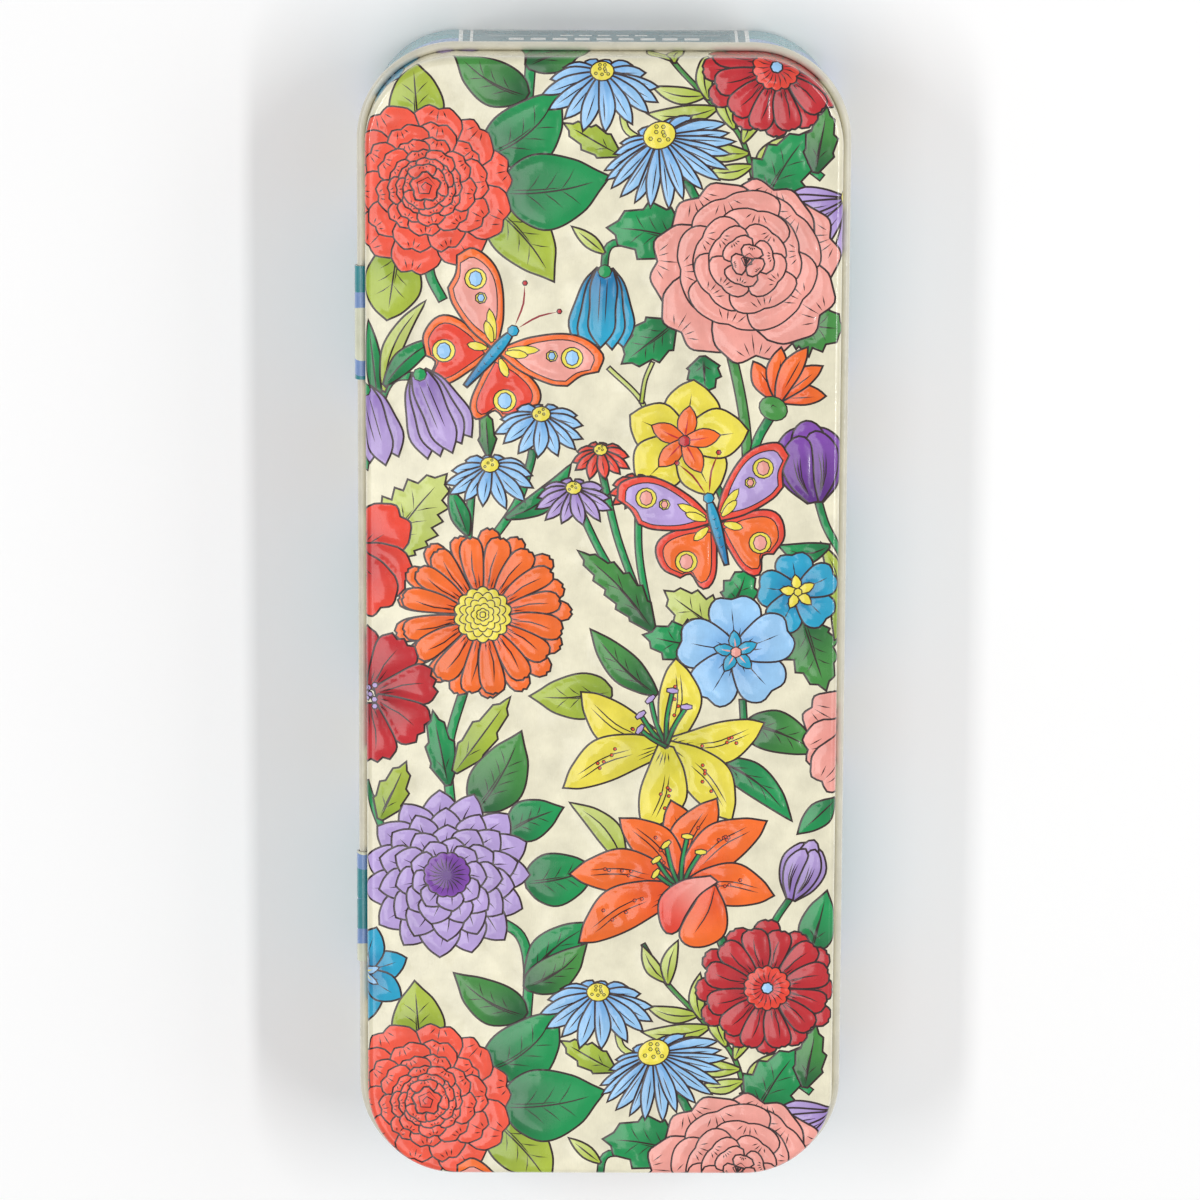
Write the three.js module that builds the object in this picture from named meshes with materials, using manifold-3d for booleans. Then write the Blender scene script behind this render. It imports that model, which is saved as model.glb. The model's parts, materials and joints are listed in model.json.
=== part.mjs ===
// A slim rectangular tin with rounded corners and a hinged lid, lying flat on its base.
// Two pressed sheets make it: a deep tray, and a shallow lid whose lower edge is rolled into a bead.
// At the back, two tongues cut from the tray wall curl round the lid's bead, which is the hinge pin.
// Millimetres. X runs along the tin, the hinge is at the back (+Y), and +Z is up.
import * as THREE from "three";
import { mergeVertices } from "three/addons/utils/BufferGeometryUtils.js";
import Module from "manifold-3d";

const wasm = await Module();
wasm.setup();

// Overall sizes.
const LID_LENGTH = 200; // over the skirt, along X
const LID_WIDTH = 81.5; // over the skirt, along Y
const TIN_HEIGHT = 30; // closed, from the resting face to the top of the lid
const CORNER_RADIUS = 15.5; // of the lid's skirt, seen from above
const SHEET = 0.3; // thickness of both sheets

// Lid.
const SKIRT_HEIGHT = 6.8; // from the middle of the bead to the top of the lid
const FACE_EDGE_RADIUS = 1.2; // outside radius between the lid's face and its skirt
const BEAD_RADIUS = 0.75;
const BEAD_JOIN_DEG = 30; // of the bead's circle above and below the skirt, where the two meet

// Tray.
const LID_CLEARANCE = 0.3; // between the lid's skirt and the tray wall, all round
const RIM_GAP = 0.3; // between the tray's rim and the underside of the lid
const HEM_WIDTH = 0.6; // how far the folded rim stands in from the wall's inside
const HEM_HEIGHT = 1.3;
const TRAY_EDGE_RADIUS = 2.2; // outside radius between wall and floor
const FOOT_WIDTH = 4; // flat ring that the tin rests on
const FLOOR_RISE = 0.6; // the floor panel stands this far above the foot
const FLOOR_SLOPE = 1.2; // width of the step between foot and floor panel

// Hinge.
const TONGUE_SPACING = 105; // between the middles of the two tongues, along X
const TONGUE_LENGTH = 20; // of each tongue, along X
const TONGUE_PLAY = 0.15; // between a tongue's inside and the bead
const TONGUE_END_DEG = 150; // where the curl stops, counted from straight outwards through the top
const LANCE_CUT = 0.3; // width of the cut beside each tongue
const LANCE_BRIDGE = 0.15; // wall left between the hole that a tongue leaves and the rim's hem
const WINDOW_HEIGHT = 2.2; // of the lid's windows above the middle of the bead
const WINDOW_PLAY = 0.8; // between a tongue's end and the window's side

// How finely round shapes are divided.
const CORNER_STEPS = 8;
const EDGE_STEPS = 4;
const BEAD_STEP_DEG = 30;
const TONGUE_STEP_DEG = 20;

// Sizes that follow.
const HINGE_Y = LID_WIDTH / 2 + BEAD_RADIUS;
const HINGE_Z = TIN_HEIGHT - SKIRT_HEIGHT;
const LID_OUTLINE = { halfX: LID_LENGTH / 2, halfY: LID_WIDTH / 2, radius: CORNER_RADIUS };
const TRAY_INSET = SHEET + LID_CLEARANCE;
const TRAY_OUTLINE = {
  halfX: LID_OUTLINE.halfX - TRAY_INSET,
  halfY: LID_OUTLINE.halfY - TRAY_INSET,
  radius: LID_OUTLINE.radius - TRAY_INSET,
};
const TRAY_TOP = TIN_HEIGHT - SHEET - RIM_GAP;
const radians = THREE.MathUtils.degToRad;
const JOIN_HEIGHT = BEAD_RADIUS * Math.sin(radians(BEAD_JOIN_DEG));
const JOIN_DEPTH = BEAD_RADIUS * (1 - Math.cos(radians(BEAD_JOIN_DEG)));
const CUT_OVER = 0.005; // a cut goes this much past the face that it takes away

// Points of an arc in a section, from one angle to the other, both ends included.
function arc(centreX, centreY, radius, fromDeg, toDeg, steps) {
  return Array.from({ length: steps + 1 }, (_, i) => {
    const angle = radians(fromDeg + ((toDeg - fromDeg) * i) / steps);
    return [centreX + radius * Math.cos(angle), centreY + radius * Math.sin(angle)];
  });
}

// A level loop round the tin, `out` outside the outline, counter-clockwise from above.
function loopAt(outline, [out, z]) {
  const radius = outline.radius + out;
  const points = [];
  for (let corner = 0; corner < 4; corner++) {
    const signX = corner === 0 || corner === 3 ? 1 : -1;
    const signY = corner < 2 ? 1 : -1;
    const centreX = signX * (outline.halfX - outline.radius);
    const centreY = signY * (outline.halfY - outline.radius);
    const start = 90 * corner;
    for (const [x, y] of arc(centreX, centreY, radius, start, start + 90, CORNER_STEPS)) points.push(x, y, z);
  }
  return points;
}

// A pressed sheet: one section, given as [out, z] points, taken round the tin and closed by two flat ends.
function pressedSheet(outline, section) {
  const count = 4 * (CORNER_STEPS + 1);
  const positions = section.flatMap((point) => loopAt(outline, point));
  const faces = [];
  for (let i = 0; i + 1 < section.length; i++) {
    for (let j = 0; j < count; j++) {
      const a = i * count + j;
      const b = i * count + ((j + 1) % count);
      faces.push(a, b, b + count, a, b + count, a + count);
    }
  }
  const firstCentre = section.length * count;
  const lastLoop = (section.length - 1) * count;
  positions.push(0, 0, section[0][1], 0, 0, section[section.length - 1][1]);
  for (let j = 0; j < count; j++) {
    const next = (j + 1) % count;
    faces.push(firstCentre, next, j);
    faces.push(firstCentre + 1, lastLoop + j, lastLoop + next);
  }
  const geometry = new THREE.BufferGeometry();
  geometry.setAttribute("position", new THREE.Float32BufferAttribute(positions, 3));
  geometry.setIndex(faces);
  return solidOf(geometry);
}

function solidOf(geometry) {
  const bare = geometry.clone();
  bare.deleteAttribute("normal");
  bare.deleteAttribute("uv");
  const merged = mergeVertices(bare, 1e-4);
  return new wasm.Manifold(
    new wasm.Mesh({
      numProp: 3,
      vertProperties: merged.attributes.position.array,
      triVerts: new Uint32Array(merged.index.array),
    }),
  );
}

function boxSolid(lowX, highX, lowY, highY, lowZ, highZ) {
  const geometry = new THREE.BoxGeometry(highX - lowX, highY - lowY, highZ - lowZ);
  geometry.translate((lowX + highX) / 2, (lowY + highY) / 2, (lowZ + highZ) / 2);
  return solidOf(geometry);
}

// A section in the plane across the hinge, given as [out, up] from the hinge axis, drawn out along X.
function barAcrossHinge(section, middleX, length) {
  const shape = new THREE.Shape(section.map(([out, up]) => new THREE.Vector2(out, up)));
  const geometry = new THREE.ExtrudeGeometry(shape, { depth: length, bevelEnabled: false, steps: 1 });
  const along = new THREE.Vector3(1, 0, 0);
  const out = new THREE.Vector3(0, 1, 0);
  const up = new THREE.Vector3(0, 0, 1);
  geometry.applyMatrix4(new THREE.Matrix4().makeBasis(out, up, along));
  geometry.translate(middleX - length / 2, HINGE_Y, HINGE_Z);
  return solidOf(geometry);
}

function tongueMiddles() {
  return [-TONGUE_SPACING / 2, TONGUE_SPACING / 2];
}

// Lid: from its underside, down the inside of the skirt, round the bead and up over the face.
function lidSolid() {
  const insideRadius = FACE_EDGE_RADIUS - SHEET;
  const beadEnd = 180 - BEAD_JOIN_DEG;
  const section = [
    ...arc(-FACE_EDGE_RADIUS, TIN_HEIGHT - FACE_EDGE_RADIUS, insideRadius, 90, 0, EDGE_STEPS),
    [-SHEET, HINGE_Z - JOIN_HEIGHT],
    ...arc(BEAD_RADIUS, HINGE_Z, BEAD_RADIUS, -beadEnd, beadEnd, (2 * beadEnd) / BEAD_STEP_DEG),
    [0, HINGE_Z + JOIN_HEIGHT + SHEET / 2],
    ...arc(-FACE_EDGE_RADIUS, TIN_HEIGHT - FACE_EDGE_RADIUS, FACE_EDGE_RADIUS, 0, 90, EDGE_STEPS),
  ];
  let lid = pressedSheet(LID_OUTLINE, section);
  // In each window only the bead is left, so that the tongue can pass behind it.
  for (const middle of tongueMiddles()) {
    const half = TONGUE_LENGTH / 2 + WINDOW_PLAY;
    const skirtY = LID_OUTLINE.halfY;
    lid = lid.subtract(
      boxSolid(
        middle - half,
        middle + half,
        skirtY - 2 * SHEET,
        skirtY + JOIN_DEPTH + CUT_OVER,
        HINGE_Z - BEAD_RADIUS,
        HINGE_Z + WINDOW_HEIGHT,
      ),
    );
  }
  return lid;
}

// Tongue: out from the tray wall under the bead, round its outside and in over its top.
function tongueSolid(middle) {
  const inside = BEAD_RADIUS + TONGUE_PLAY;
  const outside = inside + SHEET;
  const wallOut = -BEAD_RADIUS - TRAY_INSET;
  const steps = Math.round((TONGUE_END_DEG + 90) / TONGUE_STEP_DEG);
  const section = [
    [wallOut - SHEET / 3, -outside - 1.5 * SHEET],
    [wallOut + 0.5 * SHEET, -outside - 0.5 * SHEET],
    [wallOut + 1.5 * SHEET, -outside],
    ...arc(0, 0, outside, -90, TONGUE_END_DEG, steps),
    ...arc(0, 0, inside, TONGUE_END_DEG, -90, steps),
    [wallOut - SHEET / 2, -inside],
  ];
  return barAcrossHinge(section, middle, TONGUE_LENGTH);
}

// Tray: from under its floor, out to the foot, up the wall, over the hem and down the inside.
function traySolid() {
  const footInner = TRAY_EDGE_RADIUS + FOOT_WIDTH;
  const floorEdge = footInner + FLOOR_SLOPE;
  const hemOut = -SHEET - HEM_WIDTH;
  const section = [
    [-floorEdge, FLOOR_RISE],
    [-footInner, 0],
    ...arc(-TRAY_EDGE_RADIUS, TRAY_EDGE_RADIUS, TRAY_EDGE_RADIUS, -90, 0, EDGE_STEPS),
    [0, TRAY_TOP - SHEET],
    [-SHEET, TRAY_TOP],
    [hemOut + SHEET / 2, TRAY_TOP],
    [hemOut, TRAY_TOP - SHEET],
    [hemOut, TRAY_TOP - HEM_HEIGHT + SHEET],
    [-SHEET, TRAY_TOP - HEM_HEIGHT],
    ...arc(-TRAY_EDGE_RADIUS, TRAY_EDGE_RADIUS, TRAY_EDGE_RADIUS - SHEET, 0, -90, EDGE_STEPS),
    [-footInner, SHEET],
    [-floorEdge, FLOOR_RISE + SHEET],
  ];
  let tray = pressedSheet(TRAY_OUTLINE, section);
  const rootZ = HINGE_Z - BEAD_RADIUS - TONGUE_PLAY - SHEET / 2;
  const lanceTop = TRAY_TOP - HEM_HEIGHT - LANCE_BRIDGE;
  for (const middle of tongueMiddles()) {
    const half = TONGUE_LENGTH / 2 + LANCE_CUT;
    const wallY = TRAY_OUTLINE.halfY;
    tray = tray
      .subtract(
        boxSolid(middle - half, middle + half, wallY - 2 * SHEET, wallY + SHEET, rootZ, lanceTop),
      )
      .add(tongueSolid(middle));
  }
  return tray;
}

// The mesh that shows a solid, with its own faces' normals.
function meshOf(name, solid, material) {
  const { numProp, vertProperties, triVerts } = solid.getMesh();
  const positions = [];
  for (const vertex of triVerts) {
    const start = vertex * numProp;
    positions.push(...vertProperties.subarray(start, start + 3));
  }
  const geometry = new THREE.BufferGeometry();
  geometry.setAttribute("position", new THREE.Float32BufferAttribute(positions, 3));
  geometry.computeVertexNormals();
  const mesh = new THREE.Mesh(geometry, material);
  mesh.name = name;
  return mesh;
}

const trayPrint = new THREE.MeshStandardMaterial({ color: 0x7d93c4, roughness: 0.35, metalness: 0.3 });
const lidPrint = new THREE.MeshStandardMaterial({ color: 0xefe8d2, roughness: 0.35, metalness: 0.3 });

const tin = new THREE.Group();
tin.add(meshOf("base_tray", traySolid(), trayPrint));
tin.add(meshOf("hinged_lid", lidSolid(), lidPrint));

export default tin;
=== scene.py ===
"""A slim hinged tin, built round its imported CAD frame.

The lid is one pressed sheet with a flower print that stands up in low relief, and its lower edge is rolled
into a lacquered bead. The tray is one pressed sheet with a print of broad rings and a plain label panel on
its end wall, and two tongues cut from its back wall curl round the lid's bead.

Each print is drawn as flat shapes in painter's order, cut into one mesh without gaps, and pressed into the
sheet's form. Sizes are in millimetres unless a name or comment says otherwise, and a finished mesh is in
metres. Drawings use complex numbers as points: the real part runs across, the imaginary part runs up.
On the lid, across is -Y and up is +X. On the tray, across runs round the wall and up runs up its section.
"""
import cmath
import json
import math
import random

import bpy
import numpy as np
from bpy.props import FloatProperty, FloatVectorProperty, PointerProperty
from mathutils import Color, Matrix, Vector
from mathutils.bvhtree import BVHTree
from mathutils.geometry import delaunay_2d_cdt


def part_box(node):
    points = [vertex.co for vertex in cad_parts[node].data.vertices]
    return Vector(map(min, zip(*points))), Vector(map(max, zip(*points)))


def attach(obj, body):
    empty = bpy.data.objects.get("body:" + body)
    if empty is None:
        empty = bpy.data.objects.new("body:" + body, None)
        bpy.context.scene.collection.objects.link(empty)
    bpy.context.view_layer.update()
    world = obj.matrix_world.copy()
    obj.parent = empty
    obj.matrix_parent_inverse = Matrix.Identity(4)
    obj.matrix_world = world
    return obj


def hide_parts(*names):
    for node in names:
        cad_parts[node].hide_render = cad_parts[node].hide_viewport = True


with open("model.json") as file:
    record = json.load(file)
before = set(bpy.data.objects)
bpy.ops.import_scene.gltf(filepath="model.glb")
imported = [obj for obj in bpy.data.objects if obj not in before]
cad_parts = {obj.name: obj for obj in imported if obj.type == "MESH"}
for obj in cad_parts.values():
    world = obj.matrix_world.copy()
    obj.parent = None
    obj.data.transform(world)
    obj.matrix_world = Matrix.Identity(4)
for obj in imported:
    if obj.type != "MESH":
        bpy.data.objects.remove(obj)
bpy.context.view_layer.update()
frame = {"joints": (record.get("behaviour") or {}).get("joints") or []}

bl_info = {
    "name": "Hinged Printed Tin",
    "version": (1, 0, 0),
    "blender": (4, 5, 0),
    "location": "View3D > Sidebar > Tin",
    "description": "Builds a slim hinged tin with an embossed flower print round its CAD frame",
    "category": "Object",
}

MM = 0.001
LID_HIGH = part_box("hinged_lid")[1] / MM
TRAY_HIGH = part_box("base_tray")[1] / MM
HINGE = next(joint for joint in frame["joints"] if joint["name"] == "lid_hinge")
HINGE_Y = HINGE["pos_m"][1] / MM
HINGE_Z = HINGE["pos_m"][2] / MM


# ---------------------------------------------------------------------------------------------------------
# Settings
# ---------------------------------------------------------------------------------------------------------

def length(name, description, millimetres):
    return FloatProperty(
        name=name, description=description, default=millimetres * MM, min=0.0, precision=5,
        subtype="DISTANCE", unit="LENGTH",
    )


def ink(name, description, red, green, blue):
    """A printing ink, given as the red, green and blue that a screen shows."""
    return FloatVectorProperty(
        name=name, description=description, default=(red / 255, green / 255, blue / 255),
        size=3, min=0.0, max=1.0, subtype="COLOR_GAMMA",
    )


class TinSheetSettings(bpy.types.PropertyGroup):
    """Sizes of the two pressed sheets. Their outer limits come from the CAD frame."""

    sheet: length("Sheet", "Thickness of the tinplate", 0.3)
    bead_radius: length("Bead radius", "Radius of the rolled edge of the lid", 0.75)
    corner_radius: length("Corner radius", "Radius of the lid's corners over the skirt", 15.5)
    face_edge: length("Face edge", "Outside radius between the lid's face and its skirt", 1.2)
    lid_clearance: length("Lid clearance", "Gap between the skirt and the tray wall", 0.3)
    tray_edge: length("Tray edge", "Outside radius between the tray's wall and floor", 2.2)
    hem_depth: length("Hem depth", "Height of the folded rim of the tray", 1.2)
    foot_width: length("Foot width", "Width of the flat ring that the tin rests on", 4.0)
    floor_rise: length("Floor rise", "How far the floor panel stands above the foot", 0.6)
    floor_slope: length("Floor slope", "Width of the step between the foot and the floor panel", 1.2)
    tongue_spacing: length("Tongue spacing", "Distance between the middles of the tongues", 105.0)
    tongue_length: length("Tongue length", "Length of each tongue along the hinge", 20.0)
    tongue_play: length("Tongue play", "Gap between a tongue and the bead", 0.15)
    tongue_cut: length("Tongue cut", "Width of the cut beside each tongue", 0.3)
    window_play: length("Window play", "Gap between a tongue's end and the side of the lid's window", 0.8)
    window_height: length("Window height", "Height of the lid's windows above the bead's middle", 2.2)


class PrintSettings(bpy.types.PropertyGroup):
    """The drawn line, the relief and the inks of both prints."""

    line: length("Line", "Width of the dark outline round each printed shape", 0.36)
    relief: length("Relief", "How far the petals and leaves stand up from the lid's face", 0.42)
    relief_edge: length("Relief edge", "How far inside its outline a petal reaches its full height", 0.75)
    outline: ink("Outline", "Dark line round the shapes", 42, 15, 17)
    paper: ink("Ground", "Cream ground of the lid", 238, 232, 204)
    coral: ink("Coral", "Large rosette", 252, 92, 66)
    coral_deep: ink("Deep coral", "Heart of the large rosette", 232, 66, 48)
    rose: ink("Rose", "Pink rose and butterfly", 248, 168, 156)
    rose_deep: ink("Deep rose", "Folds of the pink rose", 232, 138, 128)
    scarlet: ink("Scarlet", "Small red flowers and wings", 240, 70, 48)
    crimson: ink("Crimson", "Dark red flowers", 200, 34, 44)
    crimson_deep: ink("Deep crimson", "Base of the dark red petals", 150, 16, 36)
    orange: ink("Orange", "Orange flowers", 252, 112, 30)
    orange_deep: ink("Deep orange", "Base of the orange petals", 236, 78, 22)
    yellow: ink("Yellow", "Yellow flowers and flower discs", 244, 228, 76)
    yellow_deep: ink("Deep yellow", "Base of the yellow petals", 214, 206, 52)
    sky: ink("Sky blue", "Blue daisies and five-petal flowers", 158, 208, 250)
    sky_deep: ink("Deep sky blue", "Base of the blue petals", 104, 168, 228)
    turquoise: ink("Turquoise", "Bellflower and small flowers", 30, 166, 206)
    turquoise_deep: ink("Deep turquoise", "Shade of the turquoise petals", 16, 120, 176)
    lilac: ink("Lilac", "Lilac flowers", 188, 164, 222)
    lilac_deep: ink("Deep lilac", "Base of the lilac petals", 146, 116, 190)
    purple: ink("Purple", "Tulip and the heart of the lilac rosette", 132, 72, 176)
    purple_deep: ink("Deep purple", "Shade of the purple petals", 92, 38, 132)
    lime: ink("Lime", "Light leaves", 176, 196, 62)
    lime_deep: ink("Deep lime", "Base of the light leaves", 140, 168, 48)
    pale_lime: ink("Pale lime", "Palest leaves", 206, 218, 124)
    emerald: ink("Emerald", "Bright green leaves and stems", 4, 154, 82)
    emerald_deep: ink("Deep emerald", "Base of the bright green leaves", 6, 112, 60)
    forest: ink("Forest", "Dark green leaves", 66, 146, 62)
    forest_deep: ink("Deep forest", "Base of the dark green leaves", 26, 96, 50)
    periwinkle: ink("Periwinkle", "Rings on the tray", 128, 160, 216)
    teal: ink("Teal", "Rings and tongues of the tray", 52, 148, 158)
    label: ink("Label", "End panel of the tray", 8, 104, 114)
    olive: ink("Olive", "Rings on the tray", 120, 134, 60)
    maroon: ink("Maroon", "Rings on the tray", 92, 26, 48)
    cream: ink("Cream", "Rings on the tray", 228, 230, 204)
    white: ink("White", "Rules and frame of the end panel", 246, 246, 240)


class FinishSettings(bpy.types.PropertyGroup):
    """Lacquers and bare metal."""

    bead: ink("Bead lacquer", "Cream lacquer of the rolled bead", 224, 220, 203)
    metal: ink("Tinplate", "Bare tinplate, inside and underneath", 222, 222, 218)


class StageSettings(bpy.types.PropertyGroup):
    """Floor, lights and camera."""

    floor: ink("Floor", "Plain pale floor", 255, 255, 255)
    distance: length("Camera distance", "From the camera to the point that it looks at", 1343.0)
    elevation: FloatProperty(
        name="Elevation", description="Height of the camera above the horizon",
        default=math.radians(74.84), subtype="ANGLE", unit="ROTATION",
    )
    azimuth: FloatProperty(
        name="Azimuth", description="Turn of the camera from +X towards +Y",
        default=math.radians(1.09), subtype="ANGLE", unit="ROTATION",
    )
    roll: FloatProperty(
        name="Roll", description="Tilt of the camera about its own axis",
        default=math.radians(0.255), subtype="ANGLE", unit="ROTATION",
    )
    lens: FloatProperty(
        name="Focal length", description="Focal length of the camera", default=232.65,
        subtype="DISTANCE_CAMERA", unit="CAMERA",
    )
    daylight: FloatProperty(
        name="Daylight", description="Strength of the even light from all round", default=0.37, min=0.0,
    )


PATTERN_LENGTH = 164.0  # the flower pattern fits on to itself after this length
RELIEF_MARGIN = 1.4  # the relief runs out over this width before the edge of the face
TONGUE_END = 150  # where a tongue's curl stops, in degrees from straight outwards through the top

# Radius and ink of each ring of the tray's print, from the outside in.
PLUM_RINGS = (
    (19.5, "periwinkle"), (15.6, "cream"), (12.8, "olive"),
    (9.0, "maroon"), (5.4, "coral"), (2.4, "cream"),
)
TEAL_RINGS = (
    (19.5, "teal"), (17.4, "periwinkle"), (14.8, "cream"),
    (12.8, "teal"), (7.4, "periwinkle"), (4.7, "cream"),
)
RINGS_PER_FAMILY = 10  # of each kind round the tray
PLUM_HEIGHT, TEAL_HEIGHT = 18.5, 28.0  # of the middles of the rings, up the section
RING_SHIFT = 2.0  # from the middle of the first tongue to the middle of the rings that cross it
SECOND_TONGUE_RINGS = (-14.2, 11.4)  # from the middle of the second tongue
LABEL = (25.0, 1.6, 27.4)  # half width, and heights of the lower and upper edge up the section


# ---------------------------------------------------------------------------------------------------------
# Drawing
# ---------------------------------------------------------------------------------------------------------

CURVE_STEP = 0.8  # longest straight piece of a drawn curve
STROKE_STEP = 1.6  # the same for a thin stroke
HAIRLINE, FINE_LINE, CREASE_LINE = 0.22, 0.24, 0.26  # widths of the strokes on petals
DEEP_SHADE = 0.6  # an ink's shade where it has no deep ink of its own
MITRE_LIMIT = 2.0  # a sharp tip of an outline stands out at most this many line widths

# Half outlines of petals and leaves, from base to tip: how far along, how far across, 1 at a sharp corner.
POINTED = ((0, 0.16, 1), (0.25, 0.38, 0), (0.58, 0.5, 0), (0.86, 0.27, 0), (1, 0, 1))
SLENDER = ((0, 0.14, 1), (0.3, 0.42, 0), (0.6, 0.5, 0), (0.88, 0.3, 0), (1, 0, 1))
ROUND = ((0, 0.14, 1), (0.3, 0.36, 0), (0.66, 0.5, 0), (0.9, 0.36, 0), (1, 0, 0))
NOTCHED = ((0, 0.16, 1), (0.4, 0.38, 0), (0.8, 0.5, 0), (0.98, 0.3, 1), (0.93, 0.14, 1), (1, 0, 1))
HEART = ((0, 0.12, 1), (0.32, 0.36, 0), (0.72, 0.5, 0), (0.96, 0.3, 0), (0.93, 0, 1))
RUFFLED = (
    (0, 0.2, 1), (0.3, 0.42, 0), (0.62, 0.5, 1), (0.78, 0.46, 0), (0.9, 0.34, 1), (1, 0.2, 0), (0.94, 0, 1),
)
SCALLOP = ((0, 0.3, 1), (0.5, 0.52, 0), (0.84, 0.42, 0), (1, 0.16, 0), (0.97, 0, 1))
LANCE = ((0, 0.06, 1), (0.16, 0.3, 0), (0.42, 0.5, 0), (0.74, 0.34, 0), (1, 0, 1))
OVATE = ((0, 0.08, 1), (0.12, 0.36, 0), (0.36, 0.52, 0), (0.7, 0.36, 0), (0.9, 0.12, 0), (1, 0, 1))
STRAP = ((0, 0.14, 1), (0.34, 0.38, 0), (0.78, 0.5, 0), (0.95, 0.36, 0), (1, 0.12, 1), (0.975, 0, 1))
BELL = ((0, 0.3, 1), (0.2, 0.46, 0), (0.5, 0.44, 0), (0.74, 0.46, 0), (0.86, 0.32, 0), (1, 0, 1))


def unit(vector):
    size = abs(vector)
    return vector / size if size > 1e-9 else 0j


def polar(radius, degrees):
    return cmath.rect(radius, math.radians(degrees))


def curve(knots, closed=True, step=CURVE_STEP):
    """A smooth curve through knots. A knot is a point, or a point and whether it is a sharp corner."""
    knots = [knot if isinstance(knot, tuple) else (knot, False) for knot in knots]
    count = len(knots)
    points = []
    for i in range(count if closed else count - 1):
        start, start_sharp = knots[i]
        end, end_sharp = knots[(i + 1) % count]
        span = end - start
        leaves, arrives = span, span
        if not start_sharp and (closed or i > 0):
            leaves = unit(end - knots[i - 1][0]) * abs(span)
        if not end_sharp and (closed or i + 2 < count):
            arrives = unit(knots[(i + 2) % count][0] - start) * abs(span)
        pieces = max(1, round(abs(span) / step))
        for k in range(pieces):
            t = k / pieces
            blend = t * t * (3 - 2 * t)
            bow = t * (1 - t) * ((1 - t) * leaves - t * arrives)
            points.append(start + blend * span + bow)
    if not closed:
        points.append(knots[-1][0])
    return points


def signed_area(outline):
    return sum((a.conjugate() * b).imag for a, b in zip(outline, outline[1:] + outline[:1])) / 2


def grown(outline, by):
    """The outline moved outwards, with its sharp tips kept short."""
    side = 1j if signed_area(outline) < 0 else -1j
    moved = []
    for i, point in enumerate(outline):
        before = unit(point - outline[i - 1]) * side
        after = unit(outline[(i + 1) % len(outline)] - point) * side
        normal = unit(before + after)
        lean = (normal.conjugate() * before).real
        moved.append(point + normal * by * min(MITRE_LIMIT, 1 / max(lean, 0.1)))
    return moved


def toothed(form, teeth):
    """A half outline with saw teeth pointing to its tip."""
    along = [knot[0] for knot in form]
    across = [knot[1] for knot in form]
    knots = [form[0]]
    for i in range(teeth):
        rise = 0.1 + 0.84 * (i + 0.62) / teeth
        dip = 0.1 + 0.84 * (i + 0.8) / teeth
        knots.append((rise, 1.1 * float(np.interp(rise - 0.05, along, across)), 1))
        knots.append((dip, 0.84 * float(np.interp(dip, along, across)), 1))
    return (*knots, form[-1])


def blade(base, tip, width, form=POINTED, bend=0.0):
    """Outline of a petal or leaf. `bend` bows its middle to the left, as a share of its length."""
    along = tip - base

    def place(u, v):
        return base + along * u + 1j * (unit(along) * v * width + along * bend * math.sin(math.pi * u))

    left = [(place(u, v), bool(sharp)) for u, v, sharp in form]
    right = [(place(u, -v), bool(sharp)) for u, v, sharp in reversed(form) if v > 0]
    return curve(left + right)


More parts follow.
